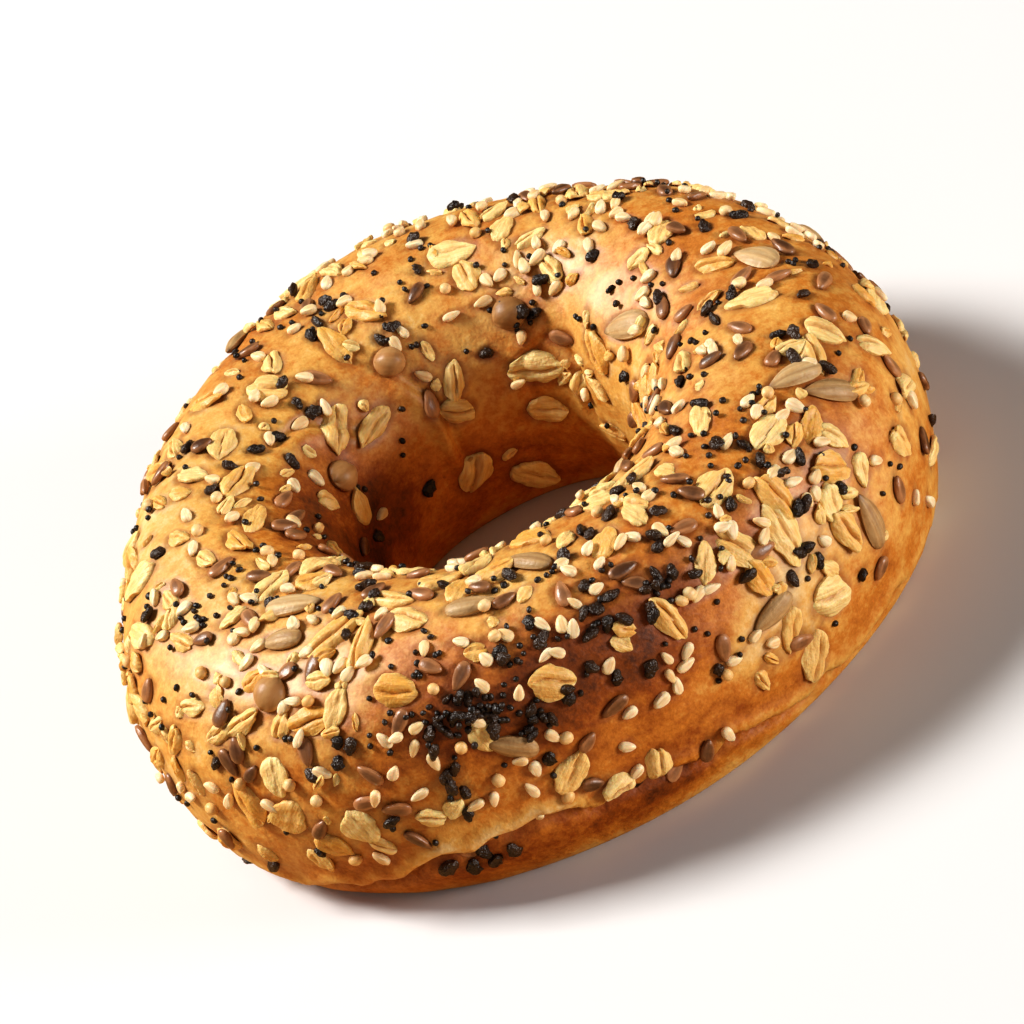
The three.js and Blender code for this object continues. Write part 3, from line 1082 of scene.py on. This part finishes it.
def lay_toppings(context, kind):
    """One mesh of every topping of a kind, each bent, leant and sunk into the skin."""
    name, slot = PIECES[kind]
    plan = the_plan(context)
    column, faces = copy_forms(kind, plan)
    points = bend_onto_dough(plan.dough, plan.placed, column, SHAPES[kind].bend)
    mesh = bpy.data.meshes.new(name)
    mesh.from_pydata(points.tolist(), [], faces)
    write_attribute(mesh, "mark", column["mark"])
    write_attribute(mesh, "tint", column["tint"])
    corners = np.empty(len(mesh.loops), int)
    mesh.loops.foreach_get("vertex_index", corners)
    lengthwise = np.stack([column["u"], column["v"]], axis=-1)[corners]
    mesh.uv_layers.new(name="lengthwise").data.foreach_set("uv", lengthwise.ravel())
    piece = bpy.data.objects.new(name, mesh)
    context.scene.collection.objects.link(piece)
    deselect_all()
    piece.select_set(True)
    context.view_layer.objects.active = piece
    bpy.ops.object.shade_smooth_by_angle(angle=SMOOTH_ANGLE)
    settle_piece(piece, name, topping_finish(kind, context.scene.bagel_colours))


def bend_onto_dough(dough, placed, column, bend):
    """Takes the toppings' own lengths, widths and heights to places on the skin."""
    owner = column["owner"]
    turns = np.array([piece.turn for piece in placed])
    arounds = np.array([piece.around for piece in placed])
    headings = np.array([piece.heading for piece in placed])[owner]
    ring_way, rope_way, normal = (way[owner] for way in dough.axes(turns, arounds))
    ring_speed = np.linalg.norm(ring_way, axis=-1)
    rope_speed = np.linalg.norm(rope_way, axis=-1)
    on_ring = (column["along"] * np.cos(headings) - column["aside"] * np.sin(headings)) / ring_speed
    on_rope = (column["along"] * np.sin(headings) + column["aside"] * np.cos(headings)) / rope_speed
    turn = turns[owner] + bend * on_ring
    around = arounds[owner] + bend * on_rope
    skin = dough.point(turn, around)
    relief = skin_relief(turn, around, skin, dough.sizes)
    stiff = on_ring[:, None] * ring_way + on_rope[:, None] * rope_way
    return skin + (1 - bend) * stiff + (column["up"] + relief)[:, None] * normal


# ---- Finishes ----


def add_node(tree, kind, sockets=None, **settings):
    """Adds a node, sets its properties, and gives its sockets values or links."""
    node = tree.nodes.new(kind)
    for name, value in settings.items():
        setattr(node, name, value)
    for name, value in (sockets or {}).items():
        if isinstance(value, bpy.types.NodeSocket):
            tree.links.new(value, node.inputs[name])
        else:
            node.inputs[name].default_value = value
    return node


def mix_colours(tree, share, first, second, blend_type="MIX"):
    """The Color output of a Mix node."""
    factor, first_colour, second_colour, result = 0, 6, 7, 2
    sockets = {factor: share, first_colour: first, second_colour: second}
    node = add_node(tree, "ShaderNodeMix", sockets, data_type="RGBA", blend_type=blend_type)
    return node.outputs[result]


def compute(tree, operation, first, second=0.0, clamp=False):
    sockets = {0: first, 1: second}
    node = add_node(tree, "ShaderNodeMath", sockets, operation=operation, use_clamp=clamp)
    return node.outputs["Value"]


def set_sockets(node, values):
    """Gives sockets that stay unlinked their values, by name."""
    for name, value in values.items():
        node.inputs[name].default_value = value


def attribute_value(tree, name):
    return add_node(tree, "ShaderNodeAttribute", attribute_name=name).outputs["Fac"]


def speckle(tree, place, size, detail=2.0, roughness=0.5):
    """Noise from 0 to 1 whose lumps have that size in metres."""
    sockets = {"Vector": place, "Scale": 1 / size, "Detail": detail, "Roughness": roughness}
    return add_node(tree, "ShaderNodeTexNoise", sockets).outputs["Fac"]


NOISE_LOW, NOISE_HIGH = 0.3, 0.7  # between which nearly all of a noise lies
FINE_DETAIL, GRIT = 3.0, 0.6  # of the finer noises


def spread(tree, value, low, high, new_low=0.0, new_high=1.0):
    """Takes low to high onto new_low to new_high, and clamps."""
    sockets = {"Value": value, "From Min": low, "From Max": high}
    sockets.update({"To Min": new_low, "To Max": new_high})
    return add_node(tree, "ShaderNodeMapRange", sockets).outputs["Result"]


def new_group(name, inputs, outputs):
    """An empty shader group with named sockets, and its input and output nodes."""
    tree = bpy.data.node_groups.new(name, "ShaderNodeTree")
    for socket_name, (socket_type, default) in inputs.items():
        socket = tree.interface.new_socket(socket_name, in_out="INPUT", socket_type=socket_type)
        socket.default_value = default
    for socket_name, socket_type in outputs.items():
        tree.interface.new_socket(socket_name, in_out="OUTPUT", socket_type=socket_type)
    return tree, tree.nodes.new("NodeGroupInput"), tree.nodes.new("NodeGroupOutput")


BLOTCH_SHARE = 0.25
EDGE_PALENESS, MARK_DARKNESS = 0.7, 0.9


def seed_skin_group():
    """Each topping's own tint, blotched, darker at its marks and paler at its edges; on the oat
    flakes the marks also paint shade on their sides.
    """
    name = "Seed Skin"
    if name in bpy.data.node_groups:
        return bpy.data.node_groups[name]
    colour, number = "NodeSocketColor", "NodeSocketFloat"
    grey = (0.5, 0.5, 0.5, 1)
    inputs = {"Light": (colour, grey), "Dark": (colour, grey), "Marked": (colour, grey)}
    inputs["Blotch Size"] = (number, 0.001)
    tree, given, result = new_group(name, inputs, {"Color": colour, "Blotch": number})
    place = add_node(tree, "ShaderNodeTexCoord").outputs["Object"]
    scale = compute(tree, "DIVIDE", 1.0, given.outputs["Blotch Size"])
    sockets = {"Vector": place, "Scale": scale, "Detail": FINE_DETAIL, "Roughness": GRIT}
    blotch = add_node(tree, "ShaderNodeTexNoise", sockets).outputs["Fac"]
    uneven = spread(tree, blotch, NOISE_LOW, NOISE_HIGH, -BLOTCH_SHARE, BLOTCH_SHARE)
    share = compute(tree, "ADD", attribute_value(tree, "tint"), uneven, clamp=True)
    body = mix_colours(tree, share, given.outputs["Light"], given.outputs["Dark"])
    mark = attribute_value(tree, "mark")
    pale = compute(tree, "MULTIPLY", mark, -EDGE_PALENESS, clamp=True)
    edged = mix_colours(tree, pale, body, given.outputs["Light"])
    dark = compute(tree, "MULTIPLY", mark, MARK_DARKNESS, clamp=True)
    marked = mix_colours(tree, dark, edged, given.outputs["Marked"])
    tree.links.new(marked, result.inputs["Color"])
    tree.links.new(blotch, result.inputs["Blotch"])
    return tree


def fibres_group():
    """Fine ridges that run lengthwise on each topping."""
    name = "Lengthwise Fibres"
    if name in bpy.data.node_groups:
        return bpy.data.node_groups[name]
    number = "NodeSocketFloat"
    inputs = {"Length": (number, 2.0), "Fineness": (number, 20.0)}
    tree, given, result = new_group(name, inputs, {"Height": number})
    pattern = add_node(tree, "ShaderNodeUVMap", uv_map="lengthwise").outputs["UV"]
    sockets = {"X": given.outputs["Length"], "Y": given.outputs["Fineness"], "Z": 1.0}
    scale = add_node(tree, "ShaderNodeCombineXYZ", sockets).outputs["Vector"]
    stretched = add_node(tree, "ShaderNodeMapping", {"Vector": pattern, "Scale": scale})
    sockets = {"Vector": stretched.outputs["Vector"], "Scale": 1.0, "Detail": FINE_DETAIL}
    ridges = add_node(tree, "ShaderNodeTexNoise", sockets).outputs["Fac"]
    tree.links.new(ridges, result.inputs["Height"])
    return tree


def new_material(name):
    """A material with only its shader and output: the material, its tree and the shader."""
    material = bpy.data.materials.new(name)
    material.use_nodes = True
    tree = material.node_tree
    return material, tree, tree.nodes["Principled BSDF"]


def add_bump(tree, height, distance, strength=1.0, under=None):
    sockets = {"Height": height, "Distance": distance, "Strength": strength}
    if under is not None:
        sockets["Normal"] = under
    return add_node(tree, "ShaderNodeBump", sockets).outputs["Normal"]


def solid(colour):
    return (*colour, 1)


# The crust's mottles: size, detail and how much each browns or pales.
CRUST_MOTTLES = (
    (17 * MM, 2.0, 0.12),
    (4 * MM, FINE_DETAIL, 0.09),
    (1.2 * MM, FINE_DETAIL, 0.08),
    (0.4 * MM, 2.0, 0.05),
)
CRUST_SHADES = {"pale": 0.05, "golden": 0.3, "caramel": 0.52, "brown": 0.76, "dark": 1.0}
# How strongly painted shade, with some browning, darkens the crust round toppings and in the foot
# crease.
SHADE_AND_BROWNING_SHARE = 0.65
CRUST_ROUGHNESS = (0.48, 0.62)
SHEEN_SIZE = 6 * MM
SHEEN_GLAZE = (0.35, 0.65, 1.0, 0.6)  # from low to high sheen, the glaze at each
TOAST_GLAZE = (0.42, 0.75, 1.0, 0.25)  # from pale to brown, the glaze at each
PORE_SIZE, PORE_DEPTH, PORE_GRIT = 0.4 * MM, 0.07 * MM, 0.65
BLISTER_SIZE, BLISTER_HEIGHT, BLISTER_RANGE = 1.5 * MM, 0.09 * MM, (0.45, 0.75)
CRUST_SHADER = {
    "Coat Roughness": 0.5,
    "Coat IOR": 1.58,
    "Specular IOR Level": 0.3,
    "Subsurface Weight": 0.1,
    "Subsurface Radius": (1.0, 0.62, 0.3),
    "Subsurface Scale": 1.2 * MM,
}


def crust_finish(colours):
    """A glazed crust: gold to mahogany by its baking and by painted light and shade, with fine pores,
    a broad soft shine, and painted shade with some browning round each topping and in the foot
    crease.
    """
    material, tree, shader = new_material("Glazed Crust")
    place = add_node(tree, "ShaderNodeTexCoord").outputs["Object"]
    toast = attribute_value(tree, "toast")
    for size, detail, share in CRUST_MOTTLES:
        mottle = speckle(tree, place, size, detail, GRIT)
        mottle = spread(tree, mottle, NOISE_LOW, NOISE_HIGH, -share, share)
        toast = compute(tree, "ADD", toast, mottle)
    ramp = add_node(tree, "ShaderNodeValToRGB", {"Fac": toast})
    for _ in range(len(CRUST_SHADES) - 2):
        ramp.color_ramp.elements.new(0.5)
    for element, (shade, position) in zip(ramp.color_ramp.elements, CRUST_SHADES.items()):
        element.position = position
        element.color = solid(getattr(colours, f"crust_{shade}"))
    # Painted shade, with some browning, round toppings and in the foot crease.
    nook = compute(tree, "MULTIPLY", attribute_value(tree, "nook"), SHADE_AND_BROWNING_SHARE)
    shaded_and_browned = mix_colours(tree, nook, ramp.outputs["Color"], solid(colours.crust_shade_and_browning))
    tree.links.new(shaded_and_browned, shader.inputs["Base Color"])
    sheen = speckle(tree, place, SHEEN_SIZE, FINE_DETAIL, GRIT)
    roughness = spread(tree, sheen, NOISE_LOW, NOISE_HIGH, *CRUST_ROUGHNESS)
    tree.links.new(roughness, shader.inputs["Roughness"])
    glaze = spread(tree, sheen, *SHEEN_GLAZE)
    glaze = compute(tree, "MULTIPLY", glaze, spread(tree, toast, *TOAST_GLAZE))
    tree.links.new(glaze, shader.inputs["Coat Weight"])
    set_sockets(shader, CRUST_SHADER)
    pores = speckle(tree, place, PORE_SIZE, FINE_DETAIL, PORE_GRIT)
    blisters = spread(tree, speckle(tree, place, BLISTER_SIZE), *BLISTER_RANGE)
    porous = add_bump(tree, pores, PORE_DEPTH)
    blistered = add_bump(tree, blisters, BLISTER_HEIGHT, under=porous)
    tree.links.new(blistered, shader.inputs["Normal"])
    return material


class Finish(NamedTuple):
    """What sets one kind of topping's finish apart. Sizes are in mm: the blotches' size, the
    fibres' height, with how long and how fine they run, and the grain's size and height. Coat
    is its gloss, and glow the share of the light that passes under its skin."""

    name: str
    blotch: float
    roughness: tuple
    fibres: tuple
    grain: tuple
    coat: float = 0.0
    glow: float = 0.0


FINISHES = {
    "flake": Finish("Rolled Oat", 1.8, (0.42, 0.62), (0.13, 4, 28), (0.5, 0.16), 0.1, 0.3),
    "kernel": Finish("Sunflower Kernel", 2, (0.45, 0.6), (0.12, 2, 20), (0.5, 0.1), glow=0.1),
    "bean": Finish("Large Seed", 2.5, (0.4, 0.5), (0.03, 2, 10), (0.7, 0.06)),
    "linseed": Finish("Linseed", 1.5, (0.3, 0.44), (0.02, 2, 14), (0.4, 0.05), 0.2),
    "sesame": Finish("White Sesame", 1, (0.42, 0.58), (0.03, 4, 30), (0.4, 0.02), 0.05, 0.3),
    "black_sesame": Finish("Black Sesame", 1, (0.28, 0.42), (0.1, 8, 25), (0.4, 0.35)),
    "millet": Finish("Millet", 1, (0.42, 0.55), (0.0, 4, 20), (0.3, 0.03), 0.05, 0.2),
    "poppy": Finish("Poppy Seed", 0.6, (0.32, 0.45), (0.0, 8, 20), (0.25, 0.12)),
}
FIBRE_LOW, FIBRE_HIGH = 0.34, 0.58
FIBRE_TINT = 0.5
FIBRE_STAIN = (0.72, 0.5, 0.28)
TOPPING_SHADER = {
    "Coat Roughness": 0.35,
    "Subsurface Radius": (1.0, 0.6, 0.3),
    "Subsurface Scale": 0.8 * MM,
}


def topping_finish(kind, colours):
    """A topping's finish: its own tints, lengthwise fibres and fine grain."""
    finish = FINISHES[kind]
    material, tree, shader = new_material(finish.name)
    skin = add_node(tree, "ShaderNodeGroup", node_tree=seed_skin_group())
    for part in COLOUR_PARTS:
        colour = solid(getattr(colours, f"{kind}_{part}"))
        skin.inputs[part.title()].default_value = colour
    skin.inputs["Blotch Size"].default_value = finish.blotch * MM
    fibre_height, fibre_length, fineness = finish.fibres
    fibres = add_node(tree, "ShaderNodeGroup", node_tree=fibres_group())
    set_sockets(fibres, {"Length": fibre_length, "Fineness": fineness})
    height = fibres.outputs["Height"]
    fibre = spread(tree, height, FIBRE_LOW, FIBRE_HIGH, FIBRE_TINT, 0.0)
    toasted = mix_colours(tree, 1.0, skin.outputs["Color"], solid(FIBRE_STAIN), "MULTIPLY")
    shaded = mix_colours(tree, fibre, skin.outputs["Color"], toasted)
    tree.links.new(shaded, shader.inputs["Base Color"])
    roughness = spread(tree, skin.outputs["Blotch"], NOISE_LOW, NOISE_HIGH, *finish.roughness)
    tree.links.new(roughness, shader.inputs["Roughness"])
    set_sockets(shader, TOPPING_SHADER)
    set_sockets(shader, {"Coat Weight": finish.coat, "Subsurface Weight": finish.glow})
    place = add_node(tree, "ShaderNodeTexCoord").outputs["Object"]
    grain_size, grain_height = finish.grain
    normal = add_bump(tree, speckle(tree, place, grain_size * MM), grain_height * MM)
    if fibre_height:
        normal = add_bump(tree, height, fibre_height * MM, under=normal)
    tree.links.new(normal, shader.inputs["Normal"])
    return material


# ---- What a user can change ----


def from_display(red, green, blue):
    """A colour as painted on a screen, 0 to 255, as the linear values that shaders take."""
    return tuple(
        share / 12.92 if share <= 0.04045 else ((share + 0.055) / 1.055) ** 2.4
        for share in (red / 255, green / 255, blue / 255)
    )


def colour_setting(name, description, *display):
    default = from_display(*display)
    options = {"subtype": "COLOR", "size": 3, "min": 0.0, "max": 1.0}
    return FloatVectorProperty(name=name, description=description, default=default, **options)


def length_setting(name, description, millimetres):
    options = {"subtype": "DISTANCE", "unit": "LENGTH", "min": 0.0, "precision": 5}
    return FloatProperty(name=name, description=description, default=millimetres * MM, **options)


def angle_setting(name, description, degrees):
    options = {"subtype": "ANGLE", "unit": "ROTATION"}
    return FloatProperty(name=name, description=description, default=degrees * DEGREE, **options)


def share_setting(name, description, default):
    return FloatProperty(name=name, description=description, default=default, min=0.0)


def power_setting(name, watts):
    description = "Power of this studio light"
    return FloatProperty(name=name, description=description, default=watts, unit="POWER")


def distance_setting(name, description, metres):
    return FloatProperty(name=name, description=description, default=metres, unit="LENGTH")


class BagelDough(bpy.types.PropertyGroup):
    """Sizes of the dough and its skin"""

    ring_radius: length_setting("Ring Radius", "From the hole's middle to the rope's middle", 40)
    sole_cut: length_setting("Sole Cut", "How much of the round rope is pressed flat below", 5)
    sole_fillet: length_setting("Sole Fillet", "How softly the flank turns into the sole", 1.6)
    full_flank: share_setting("Full Flank", "How much fuller the flanks are than an ellipse", 0.11)
    full_crown: share_setting("Full Crown", "How much fuller the shoulders are than an ellipse", 0.06)
    seam_turn: angle_setting("Seam Turn", "Where the rope's ends overlap in the hole", 41)
    seam_softness: angle_setting("Seam Softness", "How softly the hole's wall steps back there", 5)
    seam_step: length_setting("Seam Step", "How far the hole's wall steps back there", 3)
    seam_fade: angle_setting("Seam Fade", "How far round the ring the step reaches", 50)
    crease_turn: angle_setting("Crease Turn", "Where the crease low on the flank is highest", 254)
    crease_height: length_setting("Crease Height", "How high over the sole its ends run", 3.0)
    crease_rise: length_setting("Crease Rise", "How much higher its middle runs", 8.0)
    crease_depth: length_setting("Crease Depth", "How deep the crease is", 1.7)
    lump_height: length_setting("Lump Height", "How high the skin's soft lumps are", 0.35)
    dimple_depth: length_setting("Dimple Depth", "How deep toppings press into the skin", 0.2)


class BagelColours(bpy.types.PropertyGroup):
    """Colours of the crust and the toppings"""

    crust_pale: colour_setting("Pale Crust", "Crust baked least", 241, 212, 155)
    crust_golden: colour_setting("Golden Crust", "Crust baked a little", 229, 174, 86)
    crust_caramel: colour_setting("Caramel Crust", "Crust baked well", 202, 122, 34)
    crust_brown: colour_setting("Brown Crust", "Crust baked dark", 150, 74, 12)
    crust_dark: colour_setting("Dark Crust", "Crust baked darkest", 76, 32, 5)
    # Painted shade, with some browning, close round a topping and in the foot crease.
    crust_shade_and_browning: colour_setting("Crust Shade and Browning", "Crust close round a topping", 136, 68, 18)


# Each kind's lightest and darkest tints, and the colour of its crease, tip, seam or scar; on the oat
# flakes this colour also paints shade on their sides.
COLOUR_PARTS = ("light", "dark", "marked")
TOPPING_COLOURS = {
    "flake": ((255, 227, 158), (235, 176, 80), (176, 104, 40)),
    "kernel": ((227, 194, 142), (184, 144, 92), (96, 60, 32)),
    "bean": ((196, 148, 94), (146, 102, 56), (84, 48, 22)),
    "linseed": ((188, 132, 88), (92, 56, 30), (68, 40, 22)),
    "sesame": ((255, 236, 198), (248, 214, 156), (214, 158, 84)),
    "black_sesame": ((66, 44, 28), (32, 18, 10), (12, 8, 6)),
    "millet": ((248, 218, 164), (240, 194, 122), (176, 112, 48)),
    "poppy": ((52, 36, 26), (18, 12, 10), (10, 8, 7)),
}


def add_topping_colours():
    """Gives the colour settings every kind of topping's light, dark and marked colours."""
    for kind, colours in TOPPING_COLOURS.items():
        for part, colour in zip(COLOUR_PARTS, colours):
            label = f"{FINISHES[kind].name}, {part.title()}"
            setting = colour_setting(label, "A colour of this kind of topping", *colour)
            BagelColours.__annotations__[f"{kind}_{part}"] = setting


add_topping_colours()


class BagelStage(bpy.types.PropertyGroup):
    """The floor, the studio light and the camera"""

    floor_size: distance_setting("Floor Size", "Side of the square floor", 12)
    floor_colour: colour_setting("Floor", "Colour of the plain floor", 222, 221, 222)
    bounce_colour: colour_setting("Bounce", "Colour that the floor throws on the bagel", 188, 146, 94)
    key_power: power_setting("Key Power", 66)
    side_power: power_setting("Side Power", 19)
    front_power: power_setting("Front Power", 1.8)
    world_strength: share_setting("Surroundings", "Strength of the pale surroundings", 0.08)
    view_height: angle_setting("View Height", "How far above the horizon the camera is", 36)
    view_roll: angle_setting("View Roll", "How far the camera is rolled", 27.1)
    view_distance: distance_setting("View Distance", "From the camera to the bagel", 1.02)
    lens: FloatProperty(name="Lens", description="Focal length", default=260, unit="CAMERA")


# ---- Operators ----

FINE_CELLS = (420, 230)  # round the ring and the rope
CROWDED_ROWS = 0.3  # how far the rows draw together on the crest


class BAGEL_OT_crust(bpy.types.Operator):
    """Shapes the baked ring of dough with its skin's folds, creases and dimples"""

    bl_idname = "bagel.crust"
    bl_label = "Crust"

    def execute(self, context):
        plan = the_plan(context)
        sizes = plan.dough.sizes
        deselect_all()
        ring, rope = FINE_CELLS
        cells = {"major_segments": ring, "minor_segments": rope}
        bpy.ops.mesh.primitive_torus_add(**cells, major_radius=sizes.ring_radius, minor_radius=MM)
        crust = context.object
        x, y, z = read_points(crust).T
        turn = np.arctan2(y, x)
        even = np.arctan2(z, np.hypot(x, y) - sizes.ring_radius)
        around = even + CROWDED_ROWS * np.cos(even)
        skin = plan.dough.point(turn, around)
        dimples, shades_and_browning = topping_marks(skin, plan)
        relief = skin_relief(turn, around, skin, sizes) + dimples
        normal = plan.dough.axes(turn, around)[2]
        write_points(crust, skin + relief[:, None] * normal)
        # The crust's browning, with painted shade in the hole, a partly painted sheen and painted
        # bounce light worked into it.
        write_attribute(crust.data, "toast", toasting_and_painted_light(turn, around, skin, sizes))
        # The foot crease's groove is painted darker too, as shade.
        shades_and_browning = np.maximum(shades_and_browning, foot_crease(turn, around, skin, sizes)[0])
        write_attribute(crust.data, "nook", shades_and_browning)
        bpy.ops.object.mode_set(mode="EDIT")
        finish_edit()
        bpy.ops.object.shade_smooth()
        settle_piece(crust, "crust", crust_finish(context.scene.bagel_colours))
        return {"FINISHED"}


class BAGEL_OT_oat_flakes(bpy.types.Operator):
    """Lays the rolled oat flakes and their broken bits"""

    bl_idname = "bagel.oat_flakes"
    bl_label = "Oat Flakes"

    def execute(self, context):
        lay_toppings(context, "flake")
        return {"FINISHED"}


class BAGEL_OT_kernels(bpy.types.Operator):
    """Lays the sunflower kernels"""

    bl_idname = "bagel.kernels"
    bl_label = "Sunflower Kernels"

    def execute(self, context):
        lay_toppings(context, "kernel")
        return {"FINISHED"}


class BAGEL_OT_brown_seeds(bpy.types.Operator):
    """Lays the large round seeds and the glossy linseeds"""

    bl_idname = "bagel.brown_seeds"
    bl_label = "Large Seeds and Linseeds"

    def execute(self, context):
        for kind in ("bean", "linseed"):
            lay_toppings(context, kind)
        return {"FINISHED"}


class BAGEL_OT_small_seeds(bpy.types.Operator):
    """Lays the white and black sesame, the millet and the poppy seeds"""

    bl_idname = "bagel.small_seeds"
    bl_label = "Sesame, Millet and Poppy"

    def execute(self, context):
        for kind in ("sesame", "black_sesame", "millet", "poppy"):
            lay_toppings(context, kind)
        return {"FINISHED"}


AIM = Vector((0, 0, 18 * MM))
WARM = (1.0, 0.975, 0.93)
NEUTRAL = (1.0, 0.985, 0.96)


class Softbox(NamedTuple):
    """A square area light that faces the bagel: the way to it, its distance and side in metres,
    and its colour."""

    way: tuple
    distance: float
    side: float
    colour: tuple


SOFTBOXES = {
    "key": Softbox((-0.6, 0.32, 0.74), 2.2, 0.65, WARM),
    "side": Softbox((0.84, -0.52, 0.15), 1.6, 0.5, NEUTRAL),
    "front": Softbox((-0.1, -0.9, 0.5), 1.8, 0.9, NEUTRAL),
}


def add_softbox(name, power):
    """Sets out one of the studio lights with that many watts."""
    softbox = SOFTBOXES[name]
    way = Vector(softbox.way).normalized()
    turned = way.to_track_quat("Z", "Y").to_euler()
    bpy.ops.object.light_add(type="AREA", location=AIM + way * softbox.distance, rotation=turned)
    light = bpy.context.object
    light.name = f"{name}_softbox"
    light.data.size = softbox.side
    light.data.energy = power
    light.data.color = softbox.colour


FLOOR_SHADER = {"Roughness": 0.9, "Specular IOR Level": 0.1}


def floor_finish(stage):
    """A plain pale floor that throws a warmer light back, as a wooden board does."""
    material, tree, shader = new_material("Plain Floor")
    seen = add_node(tree, "ShaderNodeLightPath").outputs["Is Camera Ray"]
    colour = mix_colours(tree, seen, solid(stage.bounce_colour), solid(stage.floor_colour))
    tree.links.new(colour, shader.inputs["Base Color"])
    set_sockets(shader, FLOOR_SHADER)
    return material


class BAGEL_OT_stage(bpy.types.Operator):
    """Sets out the floor, the studio light and the camera"""

    bl_idname = "bagel.stage"
    bl_label = "Stage"

    def execute(self, context):
        stage = context.scene.bagel_stage
        deselect_all()
        bpy.ops.mesh.primitive_plane_add(size=stage.floor_size)
        floor = context.object
        floor.name = "floor"
        floor.data.materials.append(floor_finish(stage))

        for name in SOFTBOXES:
            add_softbox(name, getattr(stage, f"{name}_power"))
        world = bpy.data.worlds.new("studio")
        world.use_nodes = True
        surroundings = {"Color": solid(NEUTRAL), "Strength": stage.world_strength}
        set_sockets(world.node_tree.nodes["Background"], surroundings)
        context.scene.world = world
        context.scene.view_settings.view_transform = "Standard"
        context.scene.view_settings.look = "Medium High Contrast"

        back = Vector((0, -math.cos(stage.view_height), math.sin(stage.view_height)))
        upright = back.to_track_quat("Z", "Y").to_matrix().to_4x4()
        turned = upright @ Matrix.Rotation(-stage.view_roll, 4, "Z")
        bpy.ops.object.camera_add(location=AIM + back * stage.view_distance)
        camera = context.object
        camera.rotation_euler = turned.to_euler()
        camera.data.lens = stage.lens
        context.scene.camera = camera
        return {"FINISHED"}


# ---- The add-on ----


class BAGEL_PT_panel(bpy.types.Panel):
    """Lists the bagel's pieces and sizes"""

    bl_idname = "BAGEL_PT_panel"
    bl_label = "Seeded Bagel"
    bl_space_type = "VIEW_3D"
    bl_region_type = "UI"
    bl_category = "Bagel"

    def draw(self, context):
        layout = self.layout
        for operator in OPERATORS:
            layout.operator(operator.bl_idname)
        for name, group in SETTINGS.items():
            box = layout.box()
            settings = getattr(context.scene, name)
            for setting in group.__annotations__:
                box.prop(settings, setting)


OPERATORS = (
    BAGEL_OT_crust,
    BAGEL_OT_oat_flakes,
    BAGEL_OT_kernels,
    BAGEL_OT_brown_seeds,
    BAGEL_OT_small_seeds,
    BAGEL_OT_stage,
)
SETTINGS = {
    "bagel_dough": BagelDough,
    "bagel_colours": BagelColours,
    "bagel_stage": BagelStage,
}
CLASSES = (*SETTINGS.values(), *OPERATORS, BAGEL_PT_panel)


def register():
    for item in CLASSES:
        bpy.utils.register_class(item)
    for name, group in SETTINGS.items():
        setattr(bpy.types.Scene, name, PointerProperty(type=group))


def unregister():
    for name in SETTINGS:
        delattr(bpy.types.Scene, name)
    for item in reversed(CLASSES):
        bpy.utils.unregister_class(item)


def main():
    register()
    bpy.ops.bagel.crust()
    bpy.ops.bagel.oat_flakes()
    bpy.ops.bagel.kernels()
    bpy.ops.bagel.brown_seeds()
    bpy.ops.bagel.small_seeds()
    bpy.ops.bagel.stage()


if __name__ == "__main__":
    main()
